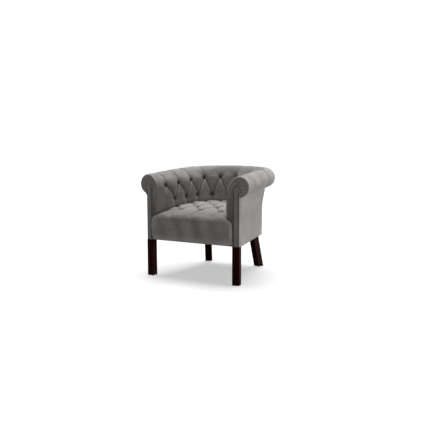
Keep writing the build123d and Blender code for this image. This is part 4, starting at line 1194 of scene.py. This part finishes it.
def antique_brass():
    metal = Finish("antique_nail_metal", Metallic=1.0)
    tarnish = metal.mottle(0.35, 0.65, 260.0, 3.0)
    colour = metal.blend(tarnish, (36, 29, 24), (64, 54, 46))
    return metal.use(Base_Color=colour, Roughness=0.34 + tarnish * 0.18)


def steel(name, dark, light, rough):
    metal = Finish(name, Metallic=1.0)
    spots = metal.noise(180.0, 3.0)
    return metal.use(Base_Color=metal.blend(spots, dark, light), Roughness=rough + spots * 0.15)


def woven(name, dark, light, scale):
    """Plain cloth: crossed yarns seen as fine squares."""
    cloth = Finish(name, Specular_IOR_Level=0.1)
    inputs = {"Vector": cloth.spot, "Scale": scale}
    long, cross = [cloth.node("TexWave", inputs, "Fac", bands_direction=axis) for axis in "XY"]
    yarn = long * 0.5 + cross * 0.5
    fuzz = cloth.noise(500.0, 2.0)
    colour = cloth.blend(yarn * 0.6 + fuzz * 0.4, dark, light)
    return cloth.use(Base_Color=colour, Roughness=0.85 + fuzz * 0.1, Normal=cloth.bump(yarn, 0.4, 0.0005))


def dress(finishes):
    """Gives every node that stays its material, by the slot that its name falls in."""
    kinds = {
        "bolts": "zinc_steel", "leg": "dark_wood", "foot_glides": "felt", "nails": "antique_nail",
        "springs": "spring_steel", "spring_clips": "zinc_steel", "tie_wires": "spring_steel",
        "screws": "zinc_steel", "webbing": "webbing", "scroll_board": "plywood", "facing_board": "plywood",
        "outside_board": "fibreboard", "cloth": "deck_cloth", "dust_cover": "dust_cloth", "foam": "foam",
        "buttons": "grey_cloth", "cover": "grey_cloth",
    }
    for name, node in frame["nodes"].items():
        slot_name = next((slot for word, slot in kinds.items() if word in name), "beech")
        node.data.materials.clear()
        node.data.materials.append(finishes[slot_name])


# ---- hidden cloths
def flat_cloth(name, node, material, sag=0.0):
    """A thin cloth in the place of a flat node, with a slight sag between its edges."""
    low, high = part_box(node)
    centre, half = (low + high) / 2, (high - low) / 2
    work = bmesh.new()
    work.from_mesh(frame["nodes"][node].data)
    bmesh.ops.remove_doubles(work, verts=work.verts, dist=1e-6)
    for _ in range(3):
        long_edges = [edge for edge in work.edges if edge.calc_length() > LONGEST_EDGE]
        bmesh.ops.subdivide_edges(work, edges=long_edges, cuts=1)
        bmesh.ops.triangulate(work, faces=work.faces)
    for vert in work.verts:
        across, deep = (vert.co.x - centre.x) / half.x, (vert.co.y - centre.y) / half.y
        vert.co.z -= sag * max(1 - across**2, 0) * max(1 - deep**2, 0)
    for face in work.faces:
        face.smooth = False
    mesh = bpy.data.meshes.new(name)
    work.to_mesh(mesh)
    work.free()
    piece = finish_piece(name, mesh, material, [node])


# ---- stage, light and camera
def grey(level):
    return (level, level, level, 1)


def stage():
    """A white floor, brighter to the camera than to the chair."""
    bpy.ops.mesh.primitive_plane_add(size=30, location=(0, 0, 0))
    floor = bpy.context.object
    floor.name = "studio_floor"
    white = bpy.data.materials.new("studio_white")
    paint = Nodes(white, "OutputMaterial")
    plain, unseen = [paint.node("BsdfDiffuse", {"Color": grey(level)})
                     for level in (FLOOR_SEEN, FLOOR_BOUNCE)]
    glow = paint.node("Emission", {"Color": grey(1), "Strength": FLOOR_GLOW})
    seen = paint.node("AddShader", {0: plain, 1: glow})
    paint.end(paint.ray("Is Camera Ray"), unseen, seen)
    floor.data.materials.append(white)


def world():
    """White to the camera and in reflections, a dim light otherwise."""
    sky = bpy.data.worlds.new("studio")
    bpy.context.scene.world = sky
    air = Nodes(sky, "OutputWorld")
    unseen, seen = [air.node("Background", {"Color": grey(1), "Strength": strength})
                    for strength in (AMBIENT, 1.0)]
    air.end(air.sum("MAXIMUM", air.ray("Is Camera Ray"), air.ray("Is Glossy Ray")), unseen, seen)


def add(name, data, turn):
    """Puts a lamp or the camera into the scene, turned one way."""
    holder = bpy.data.objects.new(name, data)
    holder.rotation_mode = "QUATERNION"
    holder.rotation_quaternion = turn
    bpy.context.scene.collection.objects.link(holder)
    return holder


def lamp(name, towards, level, spread):
    """A soft distant light from a direction; level 1 lights a surface that faces it fully."""
    data = bpy.data.lights.new(name, "SUN")
    data.energy = level * pi
    data.angle = radians(spread)
    add(name, data, Vector(towards).to_track_quat("Z", "Y"))


def camera():
    data = bpy.data.cameras.new("camera")
    data.lens = CAMERA_LENS
    data.sensor_width = 36
    holder = add("camera", data, (CAMERA_TO - CAMERA_AT).to_track_quat("-Z", "Y"))
    holder.location = CAMERA_AT
    bpy.context.scene.camera = holder


# ---- the chair
bpy.ops.object.select_all(action="DESELECT")
bpy.context.scene.view_settings.view_transform = "Standard"
camera()
stage()
world()
lamp("overhead_light", (-0.06, 0.24, 1.0), 0.93, 46)
lamp("right_light", (1.0, 0.3, 0.03), 0.82, 16)

finishes = {
    "beech": plain_wood("planed_beech", (168, 128, 88), (208, 172, 128)),
    "plywood": plain_wood("sanded_plywood", (182, 146, 102), (216, 184, 138)),
    "fibreboard": plain_wood("brown_fibreboard", (120, 88, 58), (156, 120, 84), across=9.0),
    "dark_wood": dark_mahogany(),
    "grey_cloth": chenille(),
    "foam": plain_wood("upholstery_foam", (216, 204, 160), (236, 226, 188), across=12.0),
    "webbing": woven("woven_webbing", (70, 60, 50), (120, 104, 86), 180.0),
    "spring_steel": steel("oiled_spring_wire", (104, 104, 106), (150, 150, 154), 0.32),
    "zinc_steel": steel("zinc_plate", (170, 172, 176), (206, 206, 204), 0.28),
    "antique_nail": antique_brass(),
    "deck_cloth": woven("cotton_cloth", (200, 192, 176), (232, 226, 212), 220.0),
    "dust_cloth": woven("black_dust_cloth", (20, 20, 21), (38, 38, 40), 160.0),
    "felt": woven("pressed_felt", (70, 64, 60), (96, 90, 84), 90.0),
}
dress(finishes)
cloth = finishes["grey_cloth"]
covered_buttons("back_buttons_covered", arms_and_back(cloth), cloth, ["back_buttons"])
covered_buttons("seat_buttons_covered", seat(cloth), cloth, ["seat_buttons"])
outside_cover("right_outside_cover", "arm", 1, cloth)
outside_cover("left_outside_cover", "arm", -1, cloth)
outside_cover("back_outside_cover", "back", 1, cloth)
facing(1, cloth)
facing(-1, cloth)
flat_cloth("dust_cover_cloth", "dust_cover", finishes["dust_cloth"],
           DUST_COVER_SAG)
flat_cloth("deck_cloth_sheet", "seat_deck_cloth", finishes["deck_cloth"])
